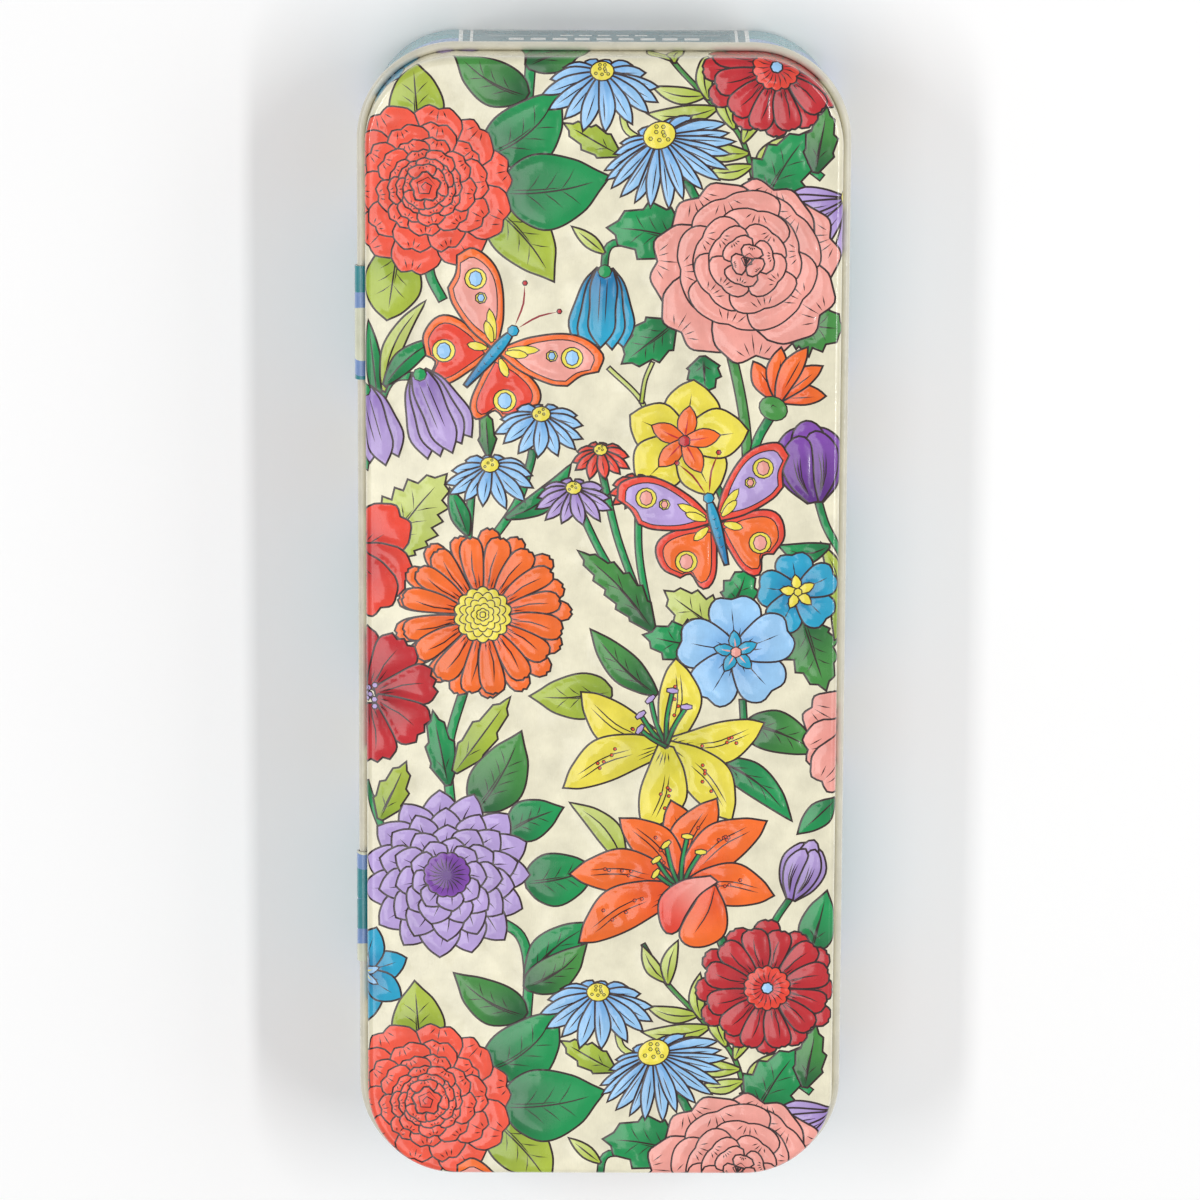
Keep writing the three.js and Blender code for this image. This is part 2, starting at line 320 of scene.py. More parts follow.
class Drawing:
    """Flat shapes in painter's order. Each holds its outline, its inks and what it does to the relief."""

    GROUND, RAISED, VALLEY, SURFACE = range(4)

    def __init__(self, settings, seed):
        self.settings = settings
        self.random = random.Random(seed)
        self.shift = 0j
        self.line = settings.line / MM
        self.shapes = []
        self.inks = {}

    def ink(self, name):
        """The ink as linear light. An ink without a deep one of its own is shaded instead."""
        if name not in self.inks:
            if hasattr(self.settings, name):
                self.inks[name] = tuple(Color(getattr(self.settings, name)).from_srgb_to_scene_linear())
            else:
                plain = self.ink(name.removesuffix("_deep"))
                self.inks[name] = tuple(part * DEEP_SHADE for part in plain)
        return self.inks[name]

    def jitter(self, share):
        return 1 + self.random.uniform(-share, share)

    def area(self, outline, ink, deep=None, heart=0j, reach=1.0, level=RAISED):
        """One area of ink, which turns into the deep ink towards its heart within the reach."""
        self.shapes.append({
            "outline": [point + self.shift for point in outline],
            "ink": self.ink(ink),
            "deep": self.ink(deep or ink),
            "heart": heart + self.shift,
            "reach": reach,
            "level": level,
        })

    def shape(self, outline, ink, deep=None, heart=0j, reach=1.0, line=1.0):
        """An area with a dark outline."""
        self.area(grown(outline, self.line * line), "outline", level=self.VALLEY)
        self.area(outline, ink, deep, heart, reach)

    def stroke(self, knots, width=0.3, ink="outline", level=SURFACE):
        """A line that thins out at both ends."""
        middle = curve(knots, closed=False, step=STROKE_STEP)
        if len(middle) < 3:
            middle = [middle[0], (middle[0] + middle[-1]) / 2, middle[-1]]
        last = len(middle) - 1
        left, right = [], []
        for i in range(1, last):
            side = unit(middle[i + 1] - middle[i - 1]) * 1j * width / 2
            side *= math.sin(math.pi * i / last) ** 0.4
            left.append(middle[i] + side)
            right.append(middle[i] - side)
        self.area([middle[0], *left, middle[-1], *reversed(right)], ink, level=level)

    def stem(self, knots, width, ink="emerald", deep="emerald_deep"):
        """A stem of even width with a dark outline."""
        middle = curve(knots, closed=False)
        left, right = [], []
        for i, point in enumerate(middle):
            side = unit(middle[min(i + 1, len(middle) - 1)] - middle[max(i - 1, 0)]) * 0.5j * width
            left.append(point + side)
            right.append(point - side)
        self.shape(left + right[::-1], ink, deep, middle[0], 6.0, line=0.8)

    def dot(self, centre, radius, ink, line=0.7, stretch=1.0, turn=0.0):
        """A round or oval spot with a dark outline."""
        count = max(6, round(2 * math.pi * radius / CURVE_STEP))
        outline = []
        for i in range(count):
            point = polar(radius, 360 * i / count)
            outline.append(centre + complex(point.real, point.imag * stretch) * polar(1, turn))
        self.shape(outline, ink, line=line)


# ---------------------------------------------------------------------------------------------------------
# Motifs
# ---------------------------------------------------------------------------------------------------------

def leaf(d, base, tip, width, ink="emerald", form=OVATE, bend=0.0, teeth=0, veins=3):
    """A leaf with a midrib, side veins and a few short strokes at its base."""
    deep = ink + "_deep" if ink != "pale_lime" else "lime"
    along = tip - base
    edge = toothed(form, teeth) if teeth else form
    d.shape(blade(base, tip, width, edge, bend), ink, deep, base, abs(along) * 0.8)

    def rib(u, v=0.0):
        return base + along * u + 1j * (unit(along) * v * width + along * bend * math.sin(math.pi * u))

    d.stroke([rib(0.02), rib(0.3), rib(0.6), rib(0.86)], 0.3)
    if width > 5:
        d.stroke([rib(0.06, 0.05), rib(0.3, 0.045), rib(0.55, 0.03)], HAIRLINE)
    for i in range(veins):
        u = 0.2 + 0.5 * i / max(1, veins)
        for side in (-1, 1):
            d.stroke([rib(u), rib(u + 0.1, 0.14 * side), rib(u + 0.17, 0.27 * side)], 0.2)


def creases(d, base, tip, width, count=3, spread=0.22, start=0.1, end=0.5):
    """Short strokes that fan out from the base of a petal."""
    along = tip - base
    for i in range(count):
        v = spread * (2 * (i + 0.5) / count - 1)
        far = end * (1 - 0.5 * abs(v) / spread) * d.jitter(0.2)
        first = base + along * start + 0.5j * unit(along) * v * width
        last = base + along * far + 1j * unit(along) * v * width
        d.stroke([first, (first + last) / 2, last], FINE_LINE)


def ring(d, centre, count, inner, outer, width, form, ink, turn=0.0, marks=2):
    """A ring of petals, those at the top behind the others."""
    order = sorted(range(count), key=lambda i: -math.cos(math.radians(turn + 360 * i / count - 90.0)))
    for i in order:
        angle = turn + 360 * i / count + d.random.uniform(-0.1, 0.1) * 360 / count
        reach = inner + (outer - inner) * d.jitter(0.06)
        base, tip = centre + polar(inner, angle), centre + polar(reach, angle)
        across = width * d.jitter(0.08)
        bend = d.random.uniform(-0.05, 0.05)
        shaded = inner + (outer - inner) * 0.7
        d.shape(blade(base, tip, across, form, bend), ink, ink + "_deep", centre, shaded)
        d.stroke([base + (tip - base) * share for share in (0.12, 0.45 + 0.05j, 0.82)], CREASE_LINE)
        creases(d, base, tip, across, marks, 0.24, 0.04, 0.42)


def scalloped(d, centre, radius, lobes, ink, deep=None, depth=0.12, turn=0.0, line=0.8):
    """A disc with a wavy edge."""
    count = lobes * 6
    outline = []
    for i in range(count):
        angle = turn + 360 * i / count
        wave = abs(math.sin(math.radians(angle - turn) * lobes / 2))
        outline.append(centre + polar(radius * (1 - depth * (1 - wave)), angle))
    d.shape(outline, ink, deep, centre, radius, line)


def spokes(d, centre, inner, outer, count, width=0.22):
    """Fine strokes that run outwards from a flower's heart."""
    for i in range(count):
        angle = 360 * i / count
        middle = centre + polar((inner + outer) / 2, angle + 5)
        d.stroke([centre + polar(inner, angle), middle, centre + polar(outer, angle)], width)


def rosette(d, centre, radius, counts, ink, form=RUFFLED, shrink=0.76, marks=3, turn=10.0):
    """A full head of overlapping petals, ring inside ring, closing on a small spiral."""
    outer = radius
    for level, count in enumerate(counts):
        inner = outer * 0.42
        width = 2 * math.pi * outer / count * 0.98
        for i in range(count):
            angle = turn + 360 * i / count + 31 * level + d.random.uniform(-4, 4)
            tip = centre + polar(outer * d.jitter(0.05), angle)
            base = centre + polar(inner, angle)
            d.shape(
                blade(base, tip, width * d.jitter(0.08), form, d.random.uniform(-0.12, 0.12)),
                ink, ink + "_deep", centre, outer * 1.05, line=0.85,
            )
            creases(d, tip, base, width, marks, 0.26, 0.06, 0.34)
        outer *= shrink
    heart = []
    for t in np.linspace(0, 6.1, 22):
        heart.append(centre + polar(outer * (0.8 + 0.12 * math.sin(5 * t)), math.degrees(t)))
    d.shape(heart, ink, ink + "_deep", centre, outer)
    spiral = [centre + polar(outer * 0.72 * (1 - k / 11), 75 * k) for k in range(10)]
    d.stroke(spiral, CREASE_LINE)


def nodding_daisy(d, centre, radius, count, ink, disc, lean_to=90.0, lean=0.62, form=POINTED):
    """A daisy seen from the side: long petals hang away from a domed, speckled disc."""
    width = 2 * math.pi * radius / count * 0.58
    up = polar(1, lean_to)
    for i in sorted(range(count), key=lambda i: -math.sin(math.tau * (i + 0.5) / count)):
        angle = math.tau * (i + 0.5 + d.random.uniform(-0.12, 0.12)) / count
        drop = complex(lean * math.sin(angle) + lean - 1, -math.cos(angle))
        tip = centre + up * radius * d.jitter(0.06) * drop
        base = centre + unit(tip - centre) * disc * 0.4
        petal = blade(base, tip, width * d.jitter(0.1), form, d.random.uniform(-0.06, 0.06))
        d.shape(petal, ink, ink + "_deep", centre, radius * 0.8)
        d.stroke([base + (tip - base) * share for share in (0.3, 0.55, 0.86)], HAIRLINE)
        creases(d, base, tip, width, 1, 0.24, 0.3, 0.7)
    head = centre + up * disc * 0.2
    d.dot(head, disc, "yellow", stretch=0.82, turn=lean_to - 90)
    for i in range(4 if disc < 1.6 else 8):
        spot = head + polar(disc * (0.3 + 0.3 * (i % 2)), 67 * i)
        d.dot(spot, disc * 0.1, "yellow_deep", line=0.35)


def open_daisy(d, centre, radius, counts, ink, form, disc, disc_ink, turn=0.0):
    """A wide-open daisy with two layers of petals."""
    for level, count in enumerate(counts):
        width = 2 * math.pi * radius / count * 0.66
        outer = radius * (1 - 0.08 * level)
        ring(d, centre, count, disc * 0.8, outer, width, form, ink, turn + 180 * level / count)
    scalloped(d, centre, disc, 14, disc_ink, disc_ink + "_deep" if disc_ink != "scarlet" else "crimson")


def star_flower(d, centre, radius, ink, form, turn, star, star_radius, heart, petals=5):
    """Broad petals with a smaller star in the middle."""
    width = 2 * math.pi * radius / petals * 0.66
    for i in range(petals):
        angle = turn + 360 * i / petals
        tip = centre + polar(radius * d.jitter(0.05), angle)
        petal = blade(centre, tip, width * d.jitter(0.06), form, d.random.uniform(-0.06, 0.06))
        d.shape(petal, ink, ink + "_deep", centre, radius * 0.8)
        d.stroke([centre + (tip - centre) * share for share in (0.45, 0.62, 0.8)], HAIRLINE)
        creases(d, centre, tip, width, 3, 0.22, 0.2, 0.58)
    for i in range(petals):
        tip = centre + polar(radius * star_radius, turn + 360 * i / petals)
        d.shape(blade(centre, tip, width * star_radius * 0.6), star, line=0.7)
        d.stroke([centre + (tip - centre) * share for share in (0, 0.4, 0.7)], 0.3, heart)
    scalloped(d, centre, radius * 0.085, 6, heart, line=0.6)


def lily(d, heart, tips, ink, width, anther, spots=5):
    """Six recurved petals from one heart, speckled, with long stamens. The last tips lie in front."""
    for order, tip in enumerate(tips):
        bend = 0.1 * (1 if order % 2 else -1)
        along = tip - heart
        petal = blade(heart, tip, width * d.jitter(0.08), POINTED, bend)
        d.shape(petal, ink, ink + "_deep", heart, abs(along) * 0.75)
        for offset in (-0.02, 0.03):
            knots = []
            for u in (0.3, 0.55, 0.85):
                knots.append(heart + along * (u + 1j * (bend * math.sin(math.pi * u) + offset)))
            d.stroke(knots, FINE_LINE)
        for _ in range(spots):
            u, v = d.random.uniform(0.32, 0.72), d.random.uniform(-0.16, 0.16)
            spot = heart + along * u + 1j * (unit(along) * v * width + along * bend)
            d.dot(spot, 0.22, "orange_deep", line=0.4)
        creases(d, heart, tip, width, 4, 0.2, 0.06, 0.3)
    stamens = ((128, 0.5), (108, 0.62), (84, 0.7), (64, 0.55), (146, 0.38))
    for k, (angle, far) in enumerate(stamens):
        end = heart + polar(width * 1.9 * far, angle)
        d.stem([heart, heart + (end - heart) * (0.5 + 0.04j), end], 0.42, "emerald", "forest_deep")
        d.dot(end, 0.42, anther, stretch=2.4, turn=angle + 25 * (k % 2), line=0.6)


def bell(d, base, turn, size, ink, petals=4, spread=17.0):
    """A hanging bell whose long petals flare at their tips. `turn` is the way it hangs, in degrees."""
    half = (petals - 1) / 2
    for i in sorted(range(petals), key=lambda i: -abs(i - half)):
        angle = turn + spread * (i - half) / max(half, 1)
        tip = base + polar(size * d.jitter(0.06), angle)
        bow = 0.05 * (i - half) / max(half, 1)
        d.shape(blade(base, tip, size * 0.33, BELL, bow), ink, ink + "_deep", base, size * 0.8)
        for v in (-0.05, 0.04):
            d.stroke([base + (tip - base) * (u + 1j * v) for u in (0.08, 0.4, 0.7)], HAIRLINE)
    d.dot(base, size * 0.05 + 0.35, "emerald", line=0.6)


def tulip(d, base, turn, size, ink, width=0.8):
    """A closed tulip head: petals behind first, then the two in front."""
    up = polar(size, turn)
    petals = ((-0.3, 0.9, 0.5), (0.3, 0.92, 0.5), (0.0, 1.0, 0.52), (-0.2, 0.86, 0.46), (0.22, 0.82, 0.46))
    for offset, rise, share in petals:
        tip = base + up * rise + 1j * up * offset * width * 0.62
        foot = base + 1j * up * offset * width * 0.16
        bow = 0.16 * offset / 0.3
        petal = blade(foot, tip, size * width * share, ROUND, bow)
        d.shape(petal, ink, ink + "_deep", base, size * 0.95)
        for v in (-0.07, 0.0, 0.08):
            knots = []
            for u in (0.1, 0.4, 0.72):
                knots.append(foot + (tip - foot) * (u + 1j * (v * u + bow * math.sin(math.pi * u))))
            d.stroke(knots, FINE_LINE)


def butterfly(d, centre, size, turn, fore, hind, edge, spot, body="turquoise"):
    """Two pairs of wings with edged panels and eye spots, a body and two feelers."""
    up = polar(size, turn - 90)

    def at(x, y, side=1):
        return centre + complex(x * side, y) * up

    for side in (-1, 1):
        wings = (
            (hind, ((0.02, -0.06, 1), (0.5, 0.02, 0), (0.98, -0.1, 0), (1.02, -0.5, 0), (0.78, -0.74, 1),
                    (0.6, -0.72, 0), (0.46, -1.02, 0), (0.26, -0.9, 0), (0.12, -0.5, 0))),
            (fore, ((0.02, 0.02, 1), (0.3, 0.52, 0), (0.8, 0.98, 0), (1.3, 1.02, 0), (1.42, 0.78, 1),
                    (1.26, 0.56, 0), (1.2, 0.3, 1), (1.0, 0.16, 0), (0.5, 0.02, 0))),
        )
        for panel, knots in wings:
            outline = [(at(x, y, side), bool(sharp)) for x, y, sharp in knots]
            middle = sum(point for point, _ in outline) / len(outline)
            d.shape(curve(outline), edge, None)
            inner = [(middle + (point - middle) * 0.8, sharp) for point, sharp in outline]
            d.shape(curve(inner), panel, None, line=0.6)
        for x, y, radius in ((0.98, 0.68, 0.16), (0.62, -0.52, 0.17), (0.72, 0.5, 0.08)):
            d.dot(at(x, y, side), size * radius, "yellow", line=0.6)
            d.dot(at(x, y, side), size * radius * 0.6, spot, stretch=1.2, line=0.5)
        for x, y in ((0.5, 0.44), (0.42, 0.26), (0.4, -0.2)):
            fleck = blade(at(0.14, y * 0.3, side), at(x, y, side), size * 0.12, SLENDER)
            d.shape(fleck, "yellow", line=0.5)
        d.stroke([at(0.03, 0.5, side), at(0.16, 0.86, side), at(0.34, 1.1, side)], 0.34, "crimson_deep")
        d.dot(at(0.35, 1.12, side), 0.34, "crimson", line=0.5)
    d.shape(blade(at(0, -0.72), at(0, 0.36), size * 0.15, ROUND), body, body + "_deep", at(0, -0.7), size)
    d.dot(at(0, 0.42), size * 0.08, body, line=0.6)
    for k in range(4):
        d.stroke([at(-0.05, -0.4 + 0.16 * k), at(0, -0.43 + 0.16 * k), at(0.05, -0.4 + 0.16 * k)], 0.18)


def sprig(d, knots, leaves, ink="pale_lime", width=0.5):
    """A thin branch with slender leaves, each given by where it leaves the branch and where it ends."""
    d.stem(knots, width, "forest", "forest_deep")
    for base, tip in leaves:
        leaf(d, base, tip, 0.24 * abs(tip - base) + 0.5, ink, LANCE, 0.08, veins=0)


def flower_repeat(d):
    """One length of the lid's pattern, which fits on to itself when moved by PATTERN_LENGTH."""
    # Stems and leaves that lie behind the flowers.
    d.stem([-38.5+40j, -40+33j, -41+28j], 0.9)
    d.stem([-30+66j, -29.5+62j, -27.5+58j], 1.3)
    d.stem([-38.6+39j, -36+44j, -31.5+44.5j], 1.1)
    d.stem([-13-72j, -12.6-62j, -14-56j, -18-53j], 1.4)
    d.stem([-23.5-10j, -26.6-22j, -26-34j], 1.3)
    d.stem([-12+31.5j, -12.5+29j, -14.8+22j, -21+13j], 1.1)
    d.stem([-22.5+25j, -23.3+14j], 1.0)
    d.stem([3+93j, 3.6+88j, 6+86j], 0.8, "pale_lime", "lime")
    d.stem([14+79j, 15.5+76j, 17.5+73j], 1.1)
    d.stem([28.3+94j, 29+89j, 31.5+84j, 37+79.5j], 1.0)
    d.stem([0+63j, 1+67.5j, 4.5+68j], 0.9)
    d.stem([21.6+50j, 23.6+41j, 24.6+34j, 25+25j], 1.4, "forest", "forest_deep")
    d.stem([29+38j, 26.4+33j, 25.4+26j], 1.2)
    d.stem([8+36j, 6.4+40.5j, 1+46j], 0.5, "pale_lime", "lime")
    d.stem([6.6+40j, 7.2+44j, 8.4+47j], 0.4, "pale_lime", "lime")
    d.stem([37+23j, 38.6+18j, 41.5+13j], 1.0)
    d.stem([18.8+27j, 20.6+23j, 21+20j], 0.8)
    for top in (-0.2+28j, -4.6+22.5j, 6.2+23.5j):
        d.stem([top, top * 0.55 + (8.8-0.6j) * 0.45 - 1, 8.8-0.6j], 0.9)
    d.stem([24.4-13j, 24.8-19j], 0.9)
    d.stem([12.6-30j, 12.9-37j], 1.0)
    d.stem([20.6-55.5j, 22.6-60.5j], 1.3)
    d.stem([33-49j, 30.5-53j, 29-57.5j], 0.8)
    d.stem([-41-28j, -39-34j, -37-39j], 0.9)
    sprig(
        d, [7.5+106.5j, 11.4+99.8j, 17+93.6j, 23.2+86.4j, 26+77j],
        (
            (11.4+99.8j, 7.4+106j), (11.8+99.4j, 13.4+107j), (17+93.6j, 8.4+95j), (17.6+93j, 17.4+101j),
            (19+91.4j, 7.6+90.4j), (22+88j, 20+97j), (23.6+85.6j, 28.4+92.5j), (24.4+83.6j, 15+85.6j),
            (25+81.4j, 17.4+80.4j), (25.8+80j, 31+86.5j),
        ),
    )
    leaf(d, -31.5+87j, -32.5+99.5j, 8.6, "lime")
    leaf(d, -19+74j, -8.6+61.4j, 9.4, "lime", bend=0.06)
    leaf(d, -35+68j, -37+54.5j, 9.6, "lime", form=POINTED)
    leaf(d, -19.5+83j, -7.4+94.5j, 10.5, bend=-0.1)
    leaf(d, -17+76.5j, 0.8+79.5j, 12.5, bend=-0.05)
    leaf(d, -13.2+93.5j, -25.4+101j, 7.2, "forest", bend=0.08)
    leaf(d, -38.6+40j, -40.2+54j, 2.6, form=LANCE, veins=0)
    leaf(d, -37.6+42j, -30.6+57.5j, 3.0, "pale_lime", LANCE, 0.1, veins=0)
    leaf(d, -37.4+43j, -28.2+51j, 3.4, form=LANCE, bend=0.08, veins=0)
    leaf(d, 2.4+83.4j, -6.6+88.6j, 4.6, "lime", teeth=3, veins=1)
    leaf(d, 27+73.5j, 35+87.5j, 9.4, teeth=4, bend=0.05)
    leaf(d, 36+80.5j, 37.8+91.5j, 5.2, "forest", teeth=3, veins=1)
    leaf(d, 14+68j, 0.8+70.6j, 10.0, teeth=3, bend=-0.06)
    leaf(d, 12+54j, 3.4+47j, 7.4, teeth=3)
    leaf(d, 31+54j, 41.5+53j, 9.2, "forest", teeth=4)
    leaf(d, 17+48j, 17.6+41.6j, 5.4, teeth=3, veins=1)
    leaf(d, 0+66.3j, -5.2+70.6j, 2.0, "pale_lime", LANCE, veins=0)
    leaf(d, -19.6+30.5j, -20.2+38.5j, 2.6, "forest", teeth=2, veins=0)
    leaf(d, -16.5+19.5j, -5.6+28.8j, 3.6, form=LANCE, bend=-0.12, veins=0)
    leaf(d, -23.2+16.5j, -26.2+24.5j, 3.0, form=LANCE, veins=0)
    leaf(d, -37.5+12.5j, -27+27j, 10.4, "pale_lime", teeth=6, bend=0.04)
    leaf(d, 8.8-0.4j, -4+13.5j, 5.4, "forest", teeth=5, bend=-0.05, veins=2)
    leaf(d, 21-1j, 11+6.4j, 7.4, "pale_lime", teeth=4)
    leaf(d, 19-4j, 7.4-1.4j, 7.4, teeth=4)
    leaf(d, 22.8+3.5j, 25+10.4j, 6.0, teeth=3, veins=2)
    leaf(d, 34.6+1.5j, 38.8-11j, 8.6, "forest", teeth=4)
    leaf(d, 40.6-2j, 37.8+15j, 4.0, "lime", LANCE, -0.12, veins=0)
    leaf(d, 39+14.6j, 30.6+14.6j, 3.4, form=LANCE, bend=0.16, veins=0)
    leaf(d, 1.6-11.6j, -12.2-12.4j, 7.6, "lime", bend=0.04)
    leaf(d, 9.4-12j, -1.8-0.6j, 5.2, "forest", form=LANCE, bend=0.04)
    leaf(d, 24.6-17.6j, 37.6-22.6j, 6.8, "forest", bend=0.08)
    leaf(d, 18.6-23.6j, 33-34.6j, 5.2, form=LANCE, bend=0.1)
    leaf(d, -26.6-28.4j, -29.2-15.4j, 4.8, teeth=3, veins=1)
    leaf(d, -25.4-26j, -16-12.8j, 5.0, "lime", teeth=3, veins=1)
    leaf(d, -38.4-34.6j, -34-24.6j, 5.2, "lime", teeth=3, veins=1)
    leaf(d, -21.4-33j, -14-19j, 9.0, "forest", bend=-0.04, veins=4)
    leaf(d, -16-37j, -6.8-32.6j, 6.8, bend=0.05)
    leaf(d, -13-46.4j, -0.6-43.6j, 9.0, bend=-0.03)
    leaf(d, 4-43j, -5.2-31.8j, 4.2, "pale_lime", LANCE, -0.12, veins=0)
    leaf(d, -13-65.4j, -1-53.5j, 6.6, form=LANCE, bend=0.1)
    leaf(d, -13-65.4j, -2.6-57.5j, 6.0, "forest", bend=-0.08)
    leaf(d, 37-58.5j, 39.4-47.8j, 6.0, veins=1)
    leaf(d, 40.8-31j, 34.4-37j, 4.0, form=LANCE, veins=0)

    # Flowers, from the label end down the lid.
    nodding_daisy(d, -0.4+97.4j, 9.6, 15, "sky", 1.9)
    nodding_daisy(d, 9.6+86.2j, 11.2, 22, "sky", 2.7, lean_to=112)
    open_daisy(d, 29.2+98.6j, 11.9, (12, 12), "crimson", STRAP, 4.0, "scarlet")
    spokes(d, 29.2+98.6j, 1.0, 3.6, 18)
    scalloped(d, 29.2+98.6j, 0.9, 7, "sky")
    nodding_daisy(d, 42+75.4j, 9.4, 13, "lilac", 1.6, lean_to=60, lean=0.4, form=NOTCHED)
    rosette(d, -30.4+77.6j, 14.4, (10, 10, 9, 8, 7, 5), "coral")
    pink_rose(d, 24+63.5j, 15.8)
    bell(d, 0.2+63j, -93, 14.0, "turquoise", 5)
    butterfly(d, -18.4+49j, 11.0, 50, "rose", "scarlet", "orange", "sky")
    bell(d, -31.4+44.8j, -68, 14.0, "lilac", 5)
    bell(d, -41+42j, -80, 13.4, "lilac", 4)
    bud_flower(d, 29.2+39j, 62, 9.6)
    star_flower(d, 14+33.2j, 10.6, "yellow", POINTED, 82, "orange", 0.58, "crimson")
    nodding_daisy(d, -10.6+37.6j, 7.4, 13, "sky", 1.5)
    nodding_daisy(d, -19.4+28.6j, 7.2, 13, "sky", 1.5)
    nodding_daisy(d, -0.4+31.4j, 4.8, 11, "scarlet", 1.1)
    nodding_daisy(d, 6.2+25.8j, 4.9, 11, "scarlet", 1.1)
    nodding_daisy(d, -5+24.6j, 6.2, 12, "lilac", 1.3)
    tulip(d, 36.6+22.6j, 97, 14.2, "purple")
    butterfly(d, 19.4+18.8j, 10.6, 105, "lilac", "orange", "scarlet", "rose")
    for tip in (-34.4+20j, -33.6+8j, -38+3j):
        d.shape(blade(-43.5+12.5j, tip, 9.6, RUFFLED), "scarlet", "crimson", -43+12j, 11)
        creases(d, -43.5+12.5j, tip, 9.6, 4, 0.24, 0.3, 0.62)
    gerbera(d, -20.6+2.2j, 14.9)
    star_flower(d, 33.8+6.4j, 7.2, "turquoise", HEART, 100, "yellow", 0.42, "yellow")
    star_flower(d, 23.2-4.4j, 10.0, "sky", HEART, 96, "turquoise", 0.38, "rose")
    cosmos(d, -40.6-12.4j, 12.0)
    lily(
        d, 11.2-21.4j,
        (12.8-5.8j, -3.4-11.8j, 28-17.2j, 22.6-34.6j, -6.4-28.8j, 7.8-36.4j), "yellow", 7.6, "lilac",
    )
    for tip in (36-14j, 35.4-22j, 38-28j):
        d.shape(blade(46-20j, tip, 9.4, RUFFLED), "rose", "rose_deep", 44-20j, 9)
        creases(d, tip, 46-20j, 9.4, 3, 0.26, 0.08, 0.4)
    dahlia(d, -26.8-44.8j, 14.8)
    lily(
        d, 14-47.5j,
        (12.2-31.4j, 20-31j, 3.4-34.6j, 28.6-35j, -5.2-44.6j, 30-48.4j, -3.6-57j), "orange", 7.4, "yellow",
    )
    tongue_petal(d, 19-46.5j, 15.6-57.6j)
    tulip(d, 33.2-49j, 70, 11.2, "lilac", 0.56)
    star_flower(d, -42-63j, 8.4, "turquoise", POINTED, 20, "sky", 0.4, "yellow", 7)


def pink_rose(d, centre, radius):
    """A large rose: ruffled outer petals, then a cup of rolled petals round an off-centre heart."""
    for i in range(7):
        angle = 20 + 360 * i / 7
        tip = centre + polar(radius * d.jitter(0.04), angle)
        petal = blade(centre, tip, radius * 0.98, RUFFLED, d.random.uniform(-0.1, 0.1))
        d.shape(petal, "rose", "rose_deep", centre, radius)
        creases(d, tip, centre, radius * 0.9, 5, 0.28, 0.05, 0.26)
    heart = centre + complex(0.04, 0.09) * radius
    for share, count, turn in ((0.74, 5, 40), (0.56, 5, 5), (0.4, 4, 50), (0.27, 3, 10), (0.17, 3, 80)):
        reach = radius * share
        for i in range(count):
            angle = turn + 360 * i / count + d.random.uniform(-6, 6)
            tip = heart + polar(reach, angle)
            base = heart + polar(reach * 0.25, angle)
            petal = blade(base, tip, reach * 1.26, SCALLOP, d.random.uniform(-0.16, 0.16))
            d.shape(petal, "rose", "rose_deep", heart, reach * 1.1, line=0.85)
            creases(d, tip, base, reach * 1.1, 4, 0.26, 0.08, 0.42)
    d.stroke([heart + polar(radius * 0.1 * (1 - k / 9), 80 * k) for k in range(8)], CREASE_LINE)


def gerbera(d, centre, radius):
    """Two layers of notched orange petals round a ruffled yellow middle."""
    open_daisy(d, centre, radius, (17, 16), "orange", STRAP, radius * 0.33, "yellow")
    for share, lobes in ((0.27, 12), (0.2, 10), (0.13, 7), (0.07, 6), (0.03, 4)):
        scalloped(d, centre, radius * share, lobes, "yellow", "yellow_deep", depth=0.2, line=0.55)


def dahlia(d, centre, radius):
    """Rings of pointed lilac petals round a dark ribbed heart."""
    for level, (count, share) in enumerate(((15, 1.0), (14, 0.82), (11, 0.62), (9, 0.44))):
        reach = radius * share
        width = 2 * math.pi * reach / count * 1.02
        ring(d, centre, count, reach * 0.36, reach, width, POINTED, "lilac", 13 * level, marks=3)
    scalloped(d, centre, radius * 0.27, 12, "purple", "purple_deep", depth=0.08)
    spokes(d, centre, radius * 0.04, radius * 0.25, 20)


def cosmos(d, centre, radius):
    """Eight broad notched petals round a cluster of small lilac dots."""
    ring(d, centre, 8, 1.6, radius, radius * 0.62, NOTCHED, "crimson", 10, marks=4)
    for i in range(11):
        d.dot(centre + polar(0.5 + 0.9 * (i % 3), 83 * i), 0.42, "lilac", line=0.6)


def bud_flower(d, base, turn, size):
    """A small orange flower half open on a green bud."""
    foot = base + polar(size * 0.2, turn)
    for aside, reach in ((62, 0.8), (-58, 0.82), (26, 0.92), (-24, 0.96), (0, 1.05)):
        angle = turn + aside
        petal = blade(foot, foot + polar(size * reach, angle), size * 0.34, POINTED, 0.06)
        d.shape(petal, "orange", "orange_deep", base, size)
        d.stroke([foot + polar(size * reach * share, angle) for share in (0.2, 0.5, 0.8)], FINE_LINE)
    d.dot(base, size * 0.2, "forest", stretch=1.25, turn=turn)
    d.stroke([base - 0.6, base - 0.1 + 0.7j, base + 0.7 + 0.2j], FINE_LINE)


def tongue_petal(d, base, tip):
    """A red petal that folds over in front of the orange lily."""
    d.shape(blade(base, tip, 7.2, ROUND, 0.14), "orange", "orange_deep", base, 12)
    d.shape(blade(base + 0.6 + 1j, tip - 4 + 2.4j, 5.2, ROUND, -0.2), "scarlet", "rose", base, 10)
    d.stroke([base + 1, base + (tip - base) * (0.4 + 0.1j), base + (tip - base) * 0.8], CREASE_LINE)


